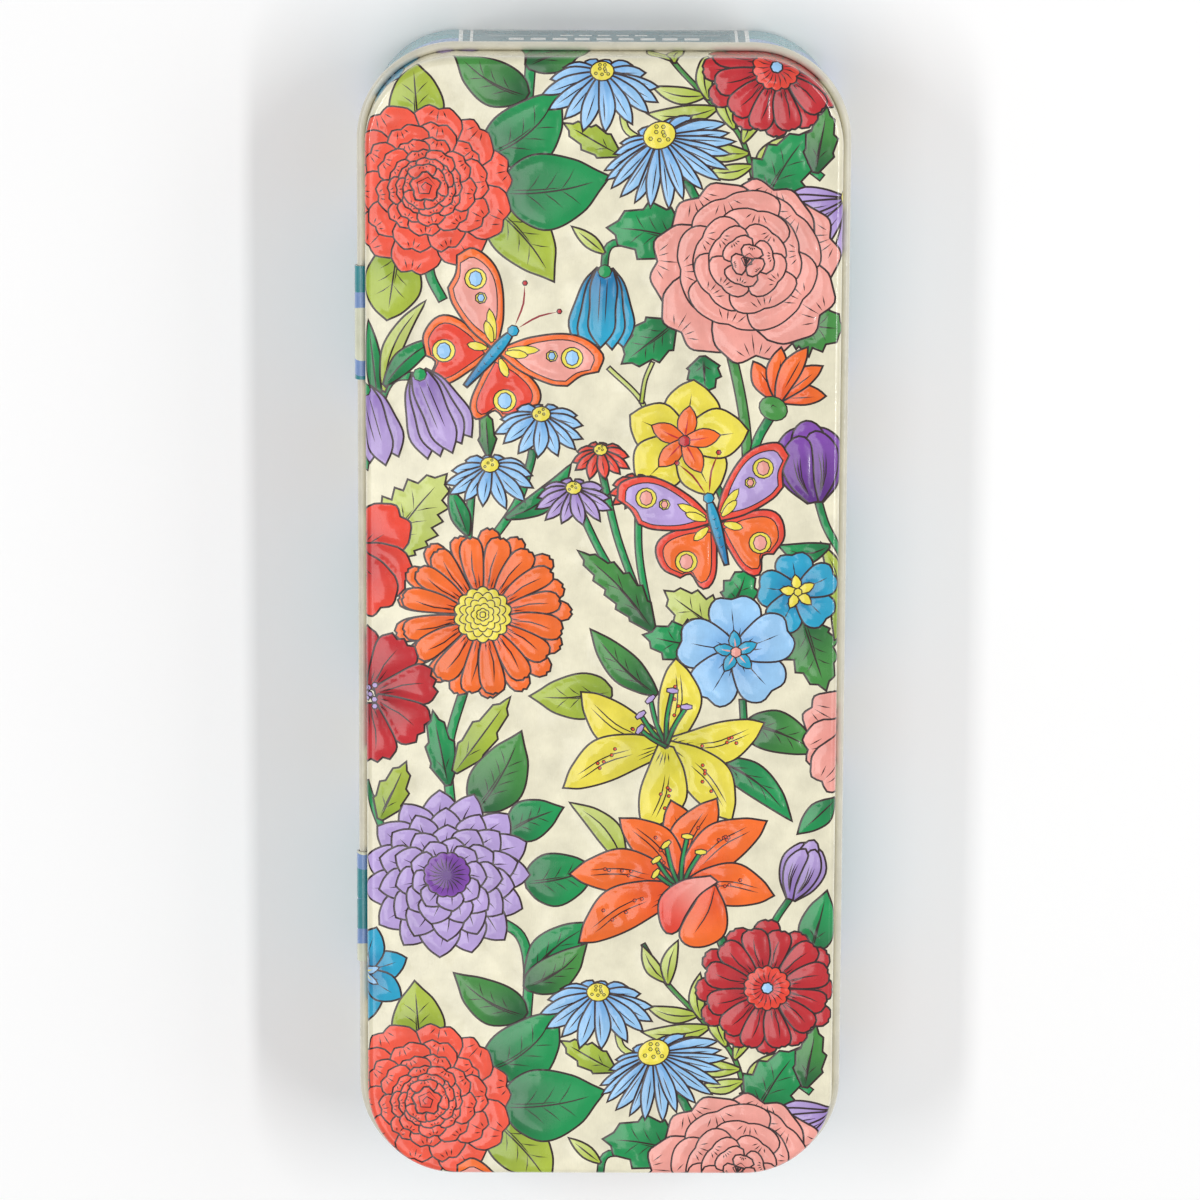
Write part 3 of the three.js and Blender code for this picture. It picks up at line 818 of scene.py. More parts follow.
def lid_drawing(settings):
    """The flower pattern over the whole lid: as many repeats as reach its edges."""
    d = Drawing(settings, seed=7)
    for repeat in (1, 0, -1):
        d.shift = 1j * PATTERN_LENGTH * repeat
        d.random.seed(7)
        flower_repeat(d)
    return d


def ring_cluster(d, centre, rings):
    """Discs one on another, which show as rings."""
    for radius, name in rings:
        outline = [centre + polar(radius, 360 * i / 60) for i in range(60)]
        d.area(outline, name, level=d.SURFACE)


def box_outline(left, right, bottom, top):
    return [complex(left, bottom), complex(right, bottom), complex(right, top), complex(left, top)]


def label_panel(d, half_width, low, high):
    """A framed panel with plain rules and bars and a lozenge between them."""

    def block(left, right, bottom, top, name):
        d.area(box_outline(left, right, bottom, top), name)

    block(-half_width, half_width, low, high, "white")
    block(0.7 - half_width, half_width - 0.7, low + 0.5, high - 0.5, "label")
    for side in (-1, 1):
        bar = side * (half_width - 2.2)
        block(bar - 0.25, bar + 0.25, low + 0.5, high - 0.5, "white")
    for height in (low + 2.2, high - 2.2):
        block(4 - half_width, half_width - 4, height - 0.12, height + 0.12, "white")
    middle = (low + high) / 2
    # Height from the middle, number of bars, their thickness, and the row's share of the panel's width.
    rows = ((-6.4, 5, 0.9, 0.32), (-3.2, 9, 2.0, 0.68), (3.2, 9, 2.0, 0.68), (6.4, 5, 0.9, 0.32))
    for row, count, thick, reach in rows:
        pitch = 2 * half_width * reach / count
        for i in range(count):
            left = (i - count / 2) * pitch + 0.16 * pitch
            block(left, left + 0.68 * pitch, middle + row - thick / 2, middle + row + thick / 2, "white")
        if reach < 0.5:
            for side in (-1, 1):
                start = half_width * (reach + 0.06)
                ends = sorted((side * start, side * (half_width - 5)))
                block(ends[0], ends[1], middle + row - 0.12, middle + row + 0.12, "white")
    for size, name in ((1.9, "white"), (1.3, "label"), (0.7, "white")):
        d.area([middle * 1j + polar(size * (1.8 if i % 2 == 0 else 0.8), 90 * i) for i in range(4)], name)


def tray_drawing(settings, form):
    """Broad rings in two families round the wall, and the panel in the middle of the end at u = 0."""
    d = Drawing(settings, seed=3)
    around = form.outline.around
    tongues = form.tongue_middles
    first = tongues[0] + RING_SHIFT
    pitch = around / (2 * RINGS_PER_FAMILY)
    for repeat in (-1, 0, 1):
        d.shift = around * repeat + 0j
        for i in range(RINGS_PER_FAMILY):
            ring_cluster(d, first + pitch * (2 * i - 3) + PLUM_HEIGHT * 1j, PLUM_RINGS)
        for i in range(RINGS_PER_FAMILY):
            ring_cluster(d, first + pitch * (2 * i - 2) + TEAL_HEIGHT * 1j, TEAL_RINGS)
        for beside in SECOND_TONGUE_RINGS:
            ring_cluster(d, tongues[1] + beside + TEAL_HEIGHT * 1j, TEAL_RINGS[-3:])
        label_panel(d, *LABEL)
    return d


# ---------------------------------------------------------------------------------------------------------
# Sheet forms
# ---------------------------------------------------------------------------------------------------------

def arc(centre, radii, start, end, steps=10):
    """Points of a section along an arc. Radii are (outwards, up) and angles are in degrees."""
    angles = np.radians(np.linspace(start, end, steps + 1))
    return [(centre[0] + radii[0] * math.cos(t), centre[1] + radii[1] * math.sin(t)) for t in angles]


class Section:
    """A sheet's section: points (out, up) with the face that shows on the left of the way along it."""

    def __init__(self, points, left=True):
        points = np.array(points, float)
        keep = np.ones(len(points), bool)
        keep[1:] = np.linalg.norm(np.diff(points, axis=0), axis=1) > 1e-6
        self.points = points[keep]
        steps = np.linalg.norm(np.diff(self.points, axis=0), axis=1)
        self.along = np.concatenate(([0], np.cumsum(steps)))
        self.length = self.along[-1]
        tangents = np.diff(self.points, axis=0) / steps[:, None]
        corners = np.vstack((tangents[:1], tangents[1:] + tangents[:-1], tangents[-1:]))
        corners /= np.linalg.norm(corners, axis=1)[:, None]
        self.left = left
        side = 1 if left else -1
        self.normals = np.column_stack((-corners[:, 1], corners[:, 0])) * side

    def at(self, along):
        """Out, up, and both parts of the normal, at distances along the section."""
        columns = (*self.points.T, *self.normals.T)
        return [np.interp(along, self.along, column) for column in columns]


class Outline:
    """A rectangle with rounded corners, seen from above, centred on the origin."""

    def __init__(self, half_x, half_y, radius):
        self.half_x, self.half_y, self.radius = half_x, half_y, radius
        self.flat_x, self.flat_y = half_x - radius, half_y - radius
        self.around = 4 * (self.flat_x + self.flat_y) + 2 * math.pi * radius

    def inset(self, by):
        return Outline(self.half_x - by, self.half_y - by, self.radius - by)

    def outside(self, x, y):
        """How far points lie outside, and the way out from there."""
        dx, dy = np.abs(x) - self.flat_x, np.abs(y) - self.flat_y
        corner = (dx > 0) & (dy > 0)
        reach = np.where(corner, np.hypot(dx, dy), np.maximum(dx, dy))
        safe = np.where(reach == 0, 1, reach)
        out_x = np.where(corner, dx / safe, dx - self.radius >= dy - self.radius) * np.sign(x)
        out_y = np.where(corner, dy / safe, dx - self.radius < dy - self.radius) * np.sign(y)
        return reach - self.radius, out_x, out_y

    def at(self, u):
        """Point and outward direction at a distance round, from the middle of the +X end towards +Y."""
        u = np.mod(np.asarray(u, float), self.around)
        bend = self.radius * math.pi / 2
        end, side = 2 * self.flat_y, 2 * self.flat_x
        stops = np.cumsum([0, self.flat_y, bend, side, bend, end, bend, side, bend])
        part = np.minimum(np.searchsorted(stops, u, side="right") - 1, 8)
        rest = u - stops[part]
        quarters = np.array([0, 0, 1, 1, 2, 2, 3, 3, 4])[part]
        turn = np.where(part % 2 == 1, rest / self.radius, 0) + quarters * math.pi / 2
        out_x, out_y = np.cos(turn), np.sin(turn)
        centre_x = np.array([1, 1, 1, -1, -1, -1, -1, 1, 1])[part] * self.flat_x
        centre_y = np.array([0, 1, 1, 1, 1, -1, -1, -1, -1])[part] * self.flat_y
        straight = np.where(part % 2 == 0, rest, 0)
        x = centre_x + self.radius * out_x - straight * out_y
        y = centre_y + self.radius * out_y + straight * out_x
        return x, y, out_x, out_y

    def loop(self, out, step=1.0):
        """Points round the outline moved outwards, as complex x + iy."""
        moved = self.inset(-out)
        count = max(24, round(moved.around / step))
        x, y, _, _ = moved.at(np.arange(count) * moved.around / count)
        return x + 1j * y

    def stations(self, straight=4.0, corner_steps=24):
        """Distances round that are close together in the corners."""
        corner = (self.radius * math.pi / 2, corner_steps)
        half_end, end, side = (self.flat_y, 0), (2 * self.flat_y, 0), (2 * self.flat_x, 0)
        stops, start = [], 0.0
        for run, steps in (half_end, corner, side, corner, end, corner, side, corner, half_end):
            steps = steps or max(1, round(run / straight))
            stops.extend(start + run * i / steps for i in range(steps))
            start += run
        return np.array(stops)


class LidForm:
    """Sections of the lid, measured outwards from its skirt."""

    def __init__(self, s):
        self.sheet = s.sheet / MM
        self.bead = s.bead_radius / MM
        self.edge = s.face_edge / MM
        self.top = LID_HIGH.z
        self.outline = Outline(
            LID_HIGH.x - 2 * self.bead, LID_HIGH.y - 2 * self.bead, s.corner_radius / MM,
        )
        self.face = self.outline.inset(self.edge)
        turn = (-self.edge, self.top - self.edge)
        inside = self.edge - self.sheet
        self.outer = Section([*arc(turn, (self.edge, self.edge), 90, 0), (0, HINGE_Z)])
        bead = (self.bead, HINGE_Z)
        reach = self.bead + self.sheet
        self.inner = Section([
            *arc(turn, (inside, inside), 90, 0), *arc(bead, (reach, self.bead), 180, 270),
        ], left=False)
        half = s.tongue_length / MM / 2 + s.window_play / MM
        middle = s.tongue_spacing / MM / 2
        self.window_top = HINGE_Z + s.window_height / MM
        self.windows = [(side * middle - half, side * middle + half) for side in (-1, 1)]

    def window_start(self, section):
        """Distance along a section at which a window starts."""
        falling = section.points[::-1, 1]
        return float(np.interp(self.window_top, falling, section.along[::-1]))

    def window_outlines(self, section):
        """Both windows in the drawing's plane, reaching past the edge of the sheet."""
        near = -(self.face.half_y + self.window_start(section))
        far = -(self.face.half_y + section.length + 1)
        return [
            [complex(near, low), complex(far, low), complex(far, high), complex(near, high)]
            for low, high in self.windows
        ]

    def press(self, points, section, relief, depth=0.0):
        """Places and normals of drawing points on a pressed sheet."""
        x, y = points[:, 1], -points[:, 0]
        out, out_x, out_y = self.face.outside(x, y)
        over = out > 0
        along = np.where(over, out, 0)
        section_out, section_up, normal_out, normal_up = section.at(along)
        run = np.where(over, section_out + self.edge - out, 0)
        height, slope_x, slope_y = relief.sample(points)
        fade = np.clip(-out / RELIEF_MARGIN, 0, 1)
        fade = fade * fade * (3 - 2 * fade)
        place = np.column_stack((
            x + out_x * run, y + out_y * run, np.where(over, section_up, self.top - depth + height * fade),
        ))
        side = 1 if depth == 0 else -1
        flat = np.column_stack((-slope_x * fade, -slope_y * fade, np.ones_like(x))) * side
        curved = np.column_stack((out_x * normal_out, out_y * normal_out, normal_up))
        normals = np.where(over[:, None], curved, flat)
        return place, normals / np.linalg.norm(normals, axis=1)[:, None]


class TrayForm:
    """Sections of the tray, outwards from its wall, and of its tongues, outwards from the hinge."""

    def __init__(self, s):
        self.sheet = s.sheet / MM
        edge = s.tray_edge / MM
        lid = LidForm(s)
        self.gap = self.sheet + s.lid_clearance / MM
        self.outline = lid.outline.inset(self.gap)
        self.rim = TRAY_HIGH.z
        hem = 1.5 * self.sheet
        hem_low = self.rim - s.hem_depth / MM
        turn = (-edge, edge)
        foot = -edge - s.foot_width / MM
        panel = foot - s.floor_slope / MM
        rise = s.floor_rise / MM
        step = [(panel - 1.0, rise), (panel, rise)]
        for t in np.linspace(0.1, 1, 10):
            step.append((panel + (foot - panel) * t, rise * (1 - t * t * (3 - 2 * t))))
        self.under = Section([*step, (-edge, 0)], left=False)
        self.outer = Section([
            *arc(turn, (edge, edge), -90, 0), *arc((-hem, self.rim - hem), (hem, hem), 0, 180, 12),
            (-2 * hem, hem_low), (-2 * hem + self.sheet, hem_low), (-2 * hem + self.sheet, hem_low + 0.5),
        ], left=False)
        inside = edge - self.sheet
        self.inner = Section([
            *[(out, up + self.sheet) for out, up in step], *arc(turn, (inside, inside), -90, 0),
            (-self.sheet, self.rim - hem),
        ])
        self.wall_start = float(self.outer.along[10]) - edge
        inner_radius = s.bead_radius / MM + s.tongue_play / MM
        radius = inner_radius + self.sheet
        wall = -(s.bead_radius / MM + self.gap)
        bend = (wall + 1.5 * self.sheet, -radius - 1.5 * self.sheet)
        small, large = 1.5 * self.sheet, 2.5 * self.sheet
        self.tongue_outer = Section([
            *arc(bend, (small, small), 180, 90, 6),
            *arc((0, 0), (radius, radius), -90, TONGUE_END, 28),
        ], left=False)
        self.tongue_inner = Section([
            *arc(bend, (large, large), 180, 90, 6),
            *arc((0, 0), (inner_radius, inner_radius), -90, TONGUE_END, 28),
        ])
        self.root = HINGE_Z + bend[1]
        self.cut = s.tongue_cut / MM
        self.lance_top = hem_low - 0.15
        self.tongue_half = s.tongue_length / MM / 2
        corner = self.outline.flat_y + self.outline.radius * math.pi / 2
        spacing = s.tongue_spacing / MM
        first = corner + self.outline.flat_x - spacing / 2
        self.tongue_middles = (first, first + spacing)

    def wall_at(self, up):
        """Distance along the outer section at a height on the wall."""
        return self.wall_start + up

    def tongue_zone(self, middle):
        low, high = self.wall_at(self.root), self.wall_at(self.lance_top - self.cut)
        return middle - self.tongue_half, middle + self.tongue_half, low, high

    def lance_outline(self, middle):
        """The cut round a tongue, open at its root."""
        left, right, low, high = self.tongue_zone(middle)
        out, top = self.cut, high + self.cut
        return [
            complex(left, low), complex(left, high), complex(right, high), complex(right, low),
            complex(right + out, low), complex(right + out, top),
            complex(left - out, top), complex(left - out, low),
        ]

    def press(self, points):
        """Places and normals of drawing points on the outer face of the wall and of the tongues."""
        u, w = points[:, 0], points[:, 1]
        x, y, out_x, out_y = self.outline.at(u)
        out, up, normal_out, normal_up = self.outer.at(w)
        for middle in self.tongue_middles:
            left, right, low, high = self.tongue_zone(middle)
            inside = (u > left - 1e-4) & (u < right + 1e-4) & (w > low + 1e-4) & (w < high + 1e-4)
            along = (w - low) / (high - low) * self.tongue_outer.length
            bent = self.tongue_outer.at(along)
            axis_out = HINGE_Y - self.outline.half_y
            out = np.where(inside, bent[0] + axis_out, out)
            up = np.where(inside, bent[1] + HINGE_Z, up)
            normal_out = np.where(inside, bent[2], normal_out)
            normal_up = np.where(inside, bent[3], normal_up)
        place = np.column_stack((x + out_x * out, y + out_y * out, up))
        normals = np.column_stack((out_x * normal_out, out_y * normal_out, normal_up))
        return place, normals / np.linalg.norm(normals, axis=1)[:, None]


class Relief:
    """Height of the pressed face over its drawing, worked out on a fine grid."""

    CELL = 0.2  # size of a square of the grid
    REACH = 3.2  # the relief rises over this many of its edge widths
    PASSES = 3  # of softening
    ON_RELIEF = 0.01  # anything higher counts as relief

    def __init__(self, drawing, half_across, half_up):
        cell = self.CELL
        self.low = np.array((-half_across, -half_up))
        self.across = np.arange(-half_across, half_across + cell, cell)
        self.up = np.arange(-half_up, half_up + cell, cell)
        self.level = np.zeros((len(self.up), len(self.across)), np.uint8)
        for shape in drawing.shapes:
            if shape["level"] != Drawing.SURFACE:
                self.fill(np.array(shape["outline"]), shape["level"])
        raised = self.level == Drawing.RAISED
        edge = drawing.settings.relief_edge / MM
        far = self.distance(~raised, steps=round(self.REACH * edge / cell)) * cell
        self.height = drawing.settings.relief / MM * far ** 2 / (far ** 2 + edge ** 2)
        self.height = self.softened(self.height, self.PASSES)
        slope_up, slope_across = np.gradient(self.height, cell)
        self.layers = np.dstack((self.height, slope_up, -slope_across))

    def fill(self, outline, level):
        """Gives the cells inside an outline their level."""
        cols = slice(*np.searchsorted(self.across, (outline.real.min(), outline.real.max())))
        rows = slice(*np.searchsorted(self.up, (outline.imag.min(), outline.imag.max())))
        x, y = self.across[cols][None, :], self.up[rows][:, None]
        if x.size == 0 or y.size == 0:
            return
        inside = np.zeros((y.size, x.size), bool)
        for a, b in zip(outline, np.roll(outline, -1)):
            if a.imag == b.imag:
                continue
            crosses = (a.imag > y) != (b.imag > y)
            inside ^= crosses & (x < (b.real - a.real) * (y - a.imag) / (b.imag - a.imag) + a.real)
        self.level[rows, cols][inside] = level

    @staticmethod
    def distance(zero, steps):
        """Distance in cells from the cells that are zero, up to a number of steps."""
        far = np.where(zero, 0.0, steps + 1.0)
        for _ in range(steps):
            for axis in (0, 1):
                for roll in (-1, 1):
                    far = np.minimum(far, np.roll(far, roll, axis) + 1)
            for roll in ((1, 1), (1, -1), (-1, 1), (-1, -1)):
                far = np.minimum(far, np.roll(far, roll, (0, 1)) + math.sqrt(2))
        return far

    @staticmethod
    def softened(values, passes):
        for _ in range(passes):
            for axis in (0, 1):
                values = (np.roll(values, 1, axis) + 2 * values + np.roll(values, -1, axis)) / 4
        return values

    def sample(self, points):
        """Height and its slopes along X and Y at drawing points."""
        place = (points - self.low) / self.CELL
        limit = (len(self.across) - 1.001, len(self.up) - 1.001)
        place = np.clip(place, 0, limit)
        col, row = place[:, 0].astype(int), place[:, 1].astype(int)
        right, above = (place[:, 0] - col)[:, None], (place[:, 1] - row)[:, None]
        low = self.layers[row, col] * (1 - right) + self.layers[row, col + 1] * right
        high = self.layers[row + 1, col] * (1 - right) + self.layers[row + 1, col + 1] * right
        return (low * (1 - above) + high * above).T

    def grid(self, fine, coarse, accept):
        """Loose points for the mesh: close together on the relief, wide apart on flat ground."""
        points = []
        for spacing, wanted in ((fine, True), (coarse, False)):
            cols = np.arange(self.across[0] + 0.07, self.across[-1], spacing)
            rows = np.arange(self.up[0] + 0.05, self.up[-1], spacing)
            grid = np.column_stack([part.ravel() for part in np.meshgrid(cols, rows)])
            on_relief = self.sample(grid)[0] > self.ON_RELIEF
            points.append(grid[(on_relief == wanted) & accept(grid)])
        return np.vstack(points)


# ---------------------------------------------------------------------------------------------------------
# Meshes
# ---------------------------------------------------------------------------------------------------------

CUT_TOLERANCE = 1e-4  # points closer than this become one


def cut_sheet(domain, folds, shapes, holes, loose):
    """Cuts a flat sheet along every printed shape. Returns points, triangles and the top shape of each."""
    points, outlines = [], []

    def add(outline):
        """Adds a closed outline, counter-clockwise, which is how the cutter tells inside from outside."""
        outline = list(outline)
        start = len(points)
        points.extend(outline if signed_area(outline) > 0 else outline[::-1])
        outlines.append(list(range(start, len(points))))

    for outline in (domain, *folds):
        add(outline)
    first_shape = len(outlines)
    domain = np.asarray(domain)
    low = complex(domain.real.min(), domain.imag.min())
    high = complex(domain.real.max(), domain.imag.max())
    owners = []
    for number, shape in enumerate(shapes):
        outline = np.asarray(shape["outline"])
        if outline.real.max() < low.real or outline.real.min() > high.real:
            continue
        if outline.imag.max() < low.imag or outline.imag.min() > high.imag:
            continue
        add(shape["outline"])
        owners.append(number)
    first_hole = len(outlines)
    for outline in holes:
        add(outline)
    vectors = [Vector((point.real, point.imag)) for point in points]
    vectors.extend(Vector(point) for point in loose)
    flat, _, faces, _, _, sources = delaunay_2d_cdt(vectors, [], outlines, 1, CUT_TOLERANCE, True)
    kept, tops = [], []
    for face, source in zip(faces, sources):
        if 0 not in source or max(source) >= first_hole:
            continue
        top = max(source)
        kept.append(face)
        tops.append(owners[top - first_shape] if top >= first_shape else -1)
    flat = np.array([(point.x, point.y) for point in flat])
    triangles, tops = np.array(kept), np.array(tops)
    if owners:
        flat, triangles, tops = recut(flat, triangles, tops, folds, loose)
    used, renumbered = np.unique(triangles, return_inverse=True)
    return flat[used], renumbered.reshape(triangles.shape), tops


def shown_edges(triangles, tops):
    """Edges between triangles of different shapes, and along the border."""
    edges = np.sort(np.vstack([triangles[:, pair] for pair in ((0, 1), (1, 2), (2, 0))]), axis=1)
    order = np.lexsort((edges[:, 1], edges[:, 0]))
    edges, sides = edges[order], np.tile(tops, 3)[order]
    twin = np.all(edges[1:] == edges[:-1], axis=1)
    alone = np.ones(len(edges), bool)
    alone[1:] &= ~twin
    alone[:-1] &= ~twin
    alone[:-1] |= twin & (sides[1:] != sides[:-1])
    return edges[alone]


def recut(flat, triangles, tops, folds, loose):
    """Cuts the sheet again along the lines that show, so that hidden outlines leave no edges."""
    edges = shown_edges(triangles, tops)
    used, renumbered = np.unique(edges, return_inverse=True)
    points = [Vector(point) for point in flat[used]]
    lines = renumbered.reshape(edges.shape).tolist()
    for outline in folds:
        start, count = len(points), len(outline)
        points.extend(Vector((point.real, point.imag)) for point in outline)
        lines.extend((start + i, start + (i + 1) % count) for i in range(count))
    points.extend(Vector(point) for point in loose)
    again, _, faces, _, _, _ = delaunay_2d_cdt(points, lines, [], 0, CUT_TOLERANCE, False)
    first_cut = BVHTree.FromPolygons([(x, y, 0.0) for x, y in flat], triangles.tolist())
    down = Vector((0, 0, -1))
    kept, owners = [], []
    for face in faces:
        middle = sum((again[corner] for corner in face), Vector((0, 0))) / len(face)
        below = first_cut.ray_cast(middle.to_3d() - down, down)[2]
        if below is not None:
            kept.append(face)
            owners.append(tops[below])
    return np.array([(point.x, point.y) for point in again]), np.array(kept), np.array(owners)


def corner_colours(flat, triangles, tops, drawing, ground):
    """Ink at each corner of each triangle, in linear light."""
    plain = {"ink": drawing.ink(ground), "deep": drawing.ink(ground), "heart": 0j, "reach": 1.0}
    shapes = [*drawing.shapes, plain]

    def column(key):
        return np.array([shape[key] for shape in shapes])[tops]

    corners = flat[triangles]
    heart = column("heart")
    away = np.hypot(corners[..., 0] - heart.real[:, None], corners[..., 1] - heart.imag[:, None])
    share = np.clip(away / column("reach")[:, None], 0, 1)
    share = (share * share * (3 - 2 * share))[..., None]
    colours = column("deep")[:, None, :] * (1 - share) + column("ink")[:, None, :] * share
    return np.concatenate((colours, np.ones((*colours.shape[:2], 1))), axis=2)


class MeshParts:
    """Collects patches of one piece, in millimetres."""

    def __init__(self):
        self.places, self.normals, self.faces = [], [], []
        self.count = 0

    def add(self, places, faces, normals=None):
        places = np.asarray(places, float)
        self.places.append(places)
        self.normals.append(np.zeros_like(places) if normals is None else normals)
        self.faces.extend([index + self.count for index in face] for face in faces)
        self.count += len(places)

    def strip(self, first, second, closed=False):
        """A band of quads between two rows of points."""
        count = len(first)
        faces = []
        for i in range(count if closed else count - 1):
            after = (i + 1) % count
            faces.append((i, after, count + after, count + i))
        self.add(np.vstack((first, second)), faces)


def make_piece(name, parts, material, colours=None):
    """Makes an object, in metres, from collected patches."""
    mesh = bpy.data.meshes.new(name)
    places = np.vstack(parts.places) * MM
    mesh.from_pydata(places.tolist(), [], parts.faces)
    mesh.materials.append(material)
    mesh.polygons.foreach_set("use_smooth", np.ones(len(mesh.polygons), bool))
    if colours is not None:
        layer = mesh.color_attributes.new(name="print", type="FLOAT_COLOR", domain="CORNER")
        layer.data.foreach_set("color", colours.astype(np.float32).ravel())
    if mesh.validate():
        raise RuntimeError(f"{name} has broken faces")
    mesh.normals_split_custom_set_from_vertices(np.vstack(parts.normals).tolist())
    mesh.update()
    piece = bpy.data.objects.new(name, mesh)
    bpy.context.scene.collection.objects.link(piece)
    return piece


def sweep(outline, section, stations, offset=(0, 0)):
    """Rows of points and normals where a section is taken round an outline."""
    x, y, out_x, out_y = outline.at(stations)
    rows, normals = [], []
    for (out, up), (normal_out, normal_up) in zip(section.points, section.normals):
        out, up = out + offset[0], up + offset[1]
        rows.append(np.column_stack((x + out_x * out, y + out_y * out, np.full_like(x, up))))
        upward = np.full_like(x, normal_up)
        normals.append(np.column_stack((out_x * normal_out, out_y * normal_out, upward)))
    return rows, normals


def add_sweep(parts, rows, normals, left, closed_section=False):
    """Joins swept rows with quads that look to the section's left, or to its right."""
    count = len(rows[0])
    faces = []
    for i in range(len(rows) if closed_section else len(rows) - 1):
        after = (i + 1) % len(rows)
        for j in range(count):
            beside = (j + 1) % count
            face = (i * count + j, after * count + j, after * count + beside, i * count + beside)
            faces.append(face if left else face[::-1])
    parts.add(np.vstack(rows), faces, np.vstack(normals))


# ---------------------------------------------------------------------------------------------------------
# Materials
# ---------------------------------------------------------------------------------------------------------

class Nodes:
    """Short calls for a material's nodes."""

    def __init__(self, name):
        self.material = bpy.data.materials.new(name)
        self.material.use_nodes = True
        self.tree = self.material.node_tree
        self.shader = self.tree.nodes["Principled BSDF"]

    def node(self, kind, **inputs):
        made = self.tree.nodes.new(kind)
        for key, value in inputs.items():
            socket = made.inputs[key.replace("_", " ")]
            if isinstance(value, bpy.types.NodeSocket):
                self.tree.links.new(value, socket)
            else:
                socket.default_value = value
        return made

    def place(self, scale=(1.0, 1.0, 1.0)):
        source = self.tree.nodes.new("ShaderNodeTexCoord").outputs["Object"]
        return self.node("ShaderNodeMapping", Vector=source, Scale=scale).outputs["Vector"]

    def noise(self, vector, scale, detail=2.0, roughness=0.5):
        return self.node(
            "ShaderNodeTexNoise", Vector=vector, Scale=scale, Detail=detail, Roughness=roughness,
        ).outputs["Fac"]

    def span(self, value, low, high, start=0.3, end=0.7):
        """The value's range from start to end, stretched to run from low to high."""
        return self.node(
            "ShaderNodeMapRange", Value=value, From_Min=start, From_Max=end, To_Min=low, To_Max=high,
        ).outputs["Result"]

    def times(self, first, second):
        made = self.tree.nodes.new("ShaderNodeMath")
        made.operation = "MULTIPLY"
        for socket, value in zip(made.inputs, (first, second)):
            if isinstance(value, bpy.types.NodeSocket):
                self.tree.links.new(value, socket)
            else:
                socket.default_value = value
        return made.outputs[0]

    def tinted(self, colour, brightness):
        """A colour made lighter or darker by a pattern."""
        made = self.tree.nodes.new("ShaderNodeVectorMath")
        made.operation = "SCALE"
        if isinstance(colour, bpy.types.NodeSocket):
            self.tree.links.new(colour, made.inputs[0])
        else:
            made.inputs[0].default_value = colour
        self.tree.links.new(brightness, made.inputs["Scale"])
        return made.outputs["Vector"]

    def set(self, **inputs):
        for key, value in inputs.items():
            socket = self.shader.inputs[key.replace("_", " ")]
            if isinstance(value, bpy.types.NodeSocket):
                self.tree.links.new(value, socket)
            else:
                socket.default_value = value

    def bump(self, *layers):
        """Bump from height patterns, each with its depth in metres."""
        normal = None
        for height, depth in layers:
            made = self.node("ShaderNodeBump", Height=height, Distance=depth, Strength=1.0)
            if normal:
                self.tree.links.new(normal, made.inputs["Normal"])
            normal = made.outputs["Normal"]
        self.set(Normal=normal)


def print_material(name):
    """Lacquered print: ink from the drawing with a watercolour wash, over faintly grained tinplate."""
    m = Nodes(name)
    colour = m.tree.nodes.new("ShaderNodeAttribute")
    colour.attribute_name = "print"
    wash = m.span(m.noise(m.place(), 190, 3.0, 0.55), 0.86, 1.07)
    grain = m.span(m.noise(m.place((1, 5, 5)), 900, 2.0), 0.975, 1.02)
    m.set(
        Base_Color=m.tinted(colour.outputs["Color"], m.times(wash, grain)),
        Roughness=m.span(m.noise(m.place(), 320, 3.0), 0.2, 0.33),
        Coat_Weight=0.8, Coat_Roughness=0.07, IOR=1.5,
    )
    m.bump((m.noise(m.place(), 420, 2.0), 0.000006), (m.noise(m.place((1, 6, 6)), 1500, 1.0), 0.0000015))
    return m.material


def lacquer_material(colour):
    """Glossy cream lacquer that has flowed a little unevenly round the rolled edge."""
    m = Nodes("cream_lacquer")
    m.set(
        Base_Color=m.tinted(colour, m.span(m.noise(m.place(), 260, 3.0), 0.9, 1.04)),
        Roughness=m.span(m.noise(m.place(), 500, 3.0), 0.16, 0.3),
        Coat_Weight=0.4, Coat_Roughness=0.05, IOR=1.5,
    )
    m.bump((m.noise(m.place(), 700, 2.0), 0.000012))
    return m.material


def tinplate_material(colour):
    """Bare tinplate with fine rolling lines along the tin, faint stains and handling marks."""
    m = Nodes("bare_tinplate")
    lines = m.noise(m.place((0.03, 1, 1)), 4200, 3.0, 0.6)
    stain = m.noise(m.place(), 60, 4.0, 0.6)
    marks = m.noise(m.place((1, 0.25, 1)), 900, 2.0, 0.5)
    m.set(
        Base_Color=m.tinted(colour, m.times(m.span(stain, 0.86, 1.02), m.span(lines, 0.93, 1.03))),
        Roughness=m.times(m.span(lines, 0.24, 0.38), m.span(marks, 0.9, 1.15, 0.45, 0.6)),
        Metallic=1.0,
    )
    m.bump((lines, 0.0000025), (m.noise(m.place(), 150, 2.0), 0.00002))
    return m.material


def floor_material(colour):
    m = Nodes("pale_floor")
    m.set(
        Base_Color=m.tinted(colour, m.span(m.noise(m.place(), 6, 3.0), 0.985, 1.0)),
        Roughness=m.span(m.noise(m.place(), 40, 2.0), 0.55, 0.7),
    )
    return m.material


def linear(settings, name):
    return tuple(Color(getattr(settings, name)).from_srgb_to_scene_linear())


def shared_material(name, make, *arguments):
    return bpy.data.materials.get(name) or make(*arguments)


# ---------------------------------------------------------------------------------------------------------
# Pieces
# ---------------------------------------------------------------------------------------------------------

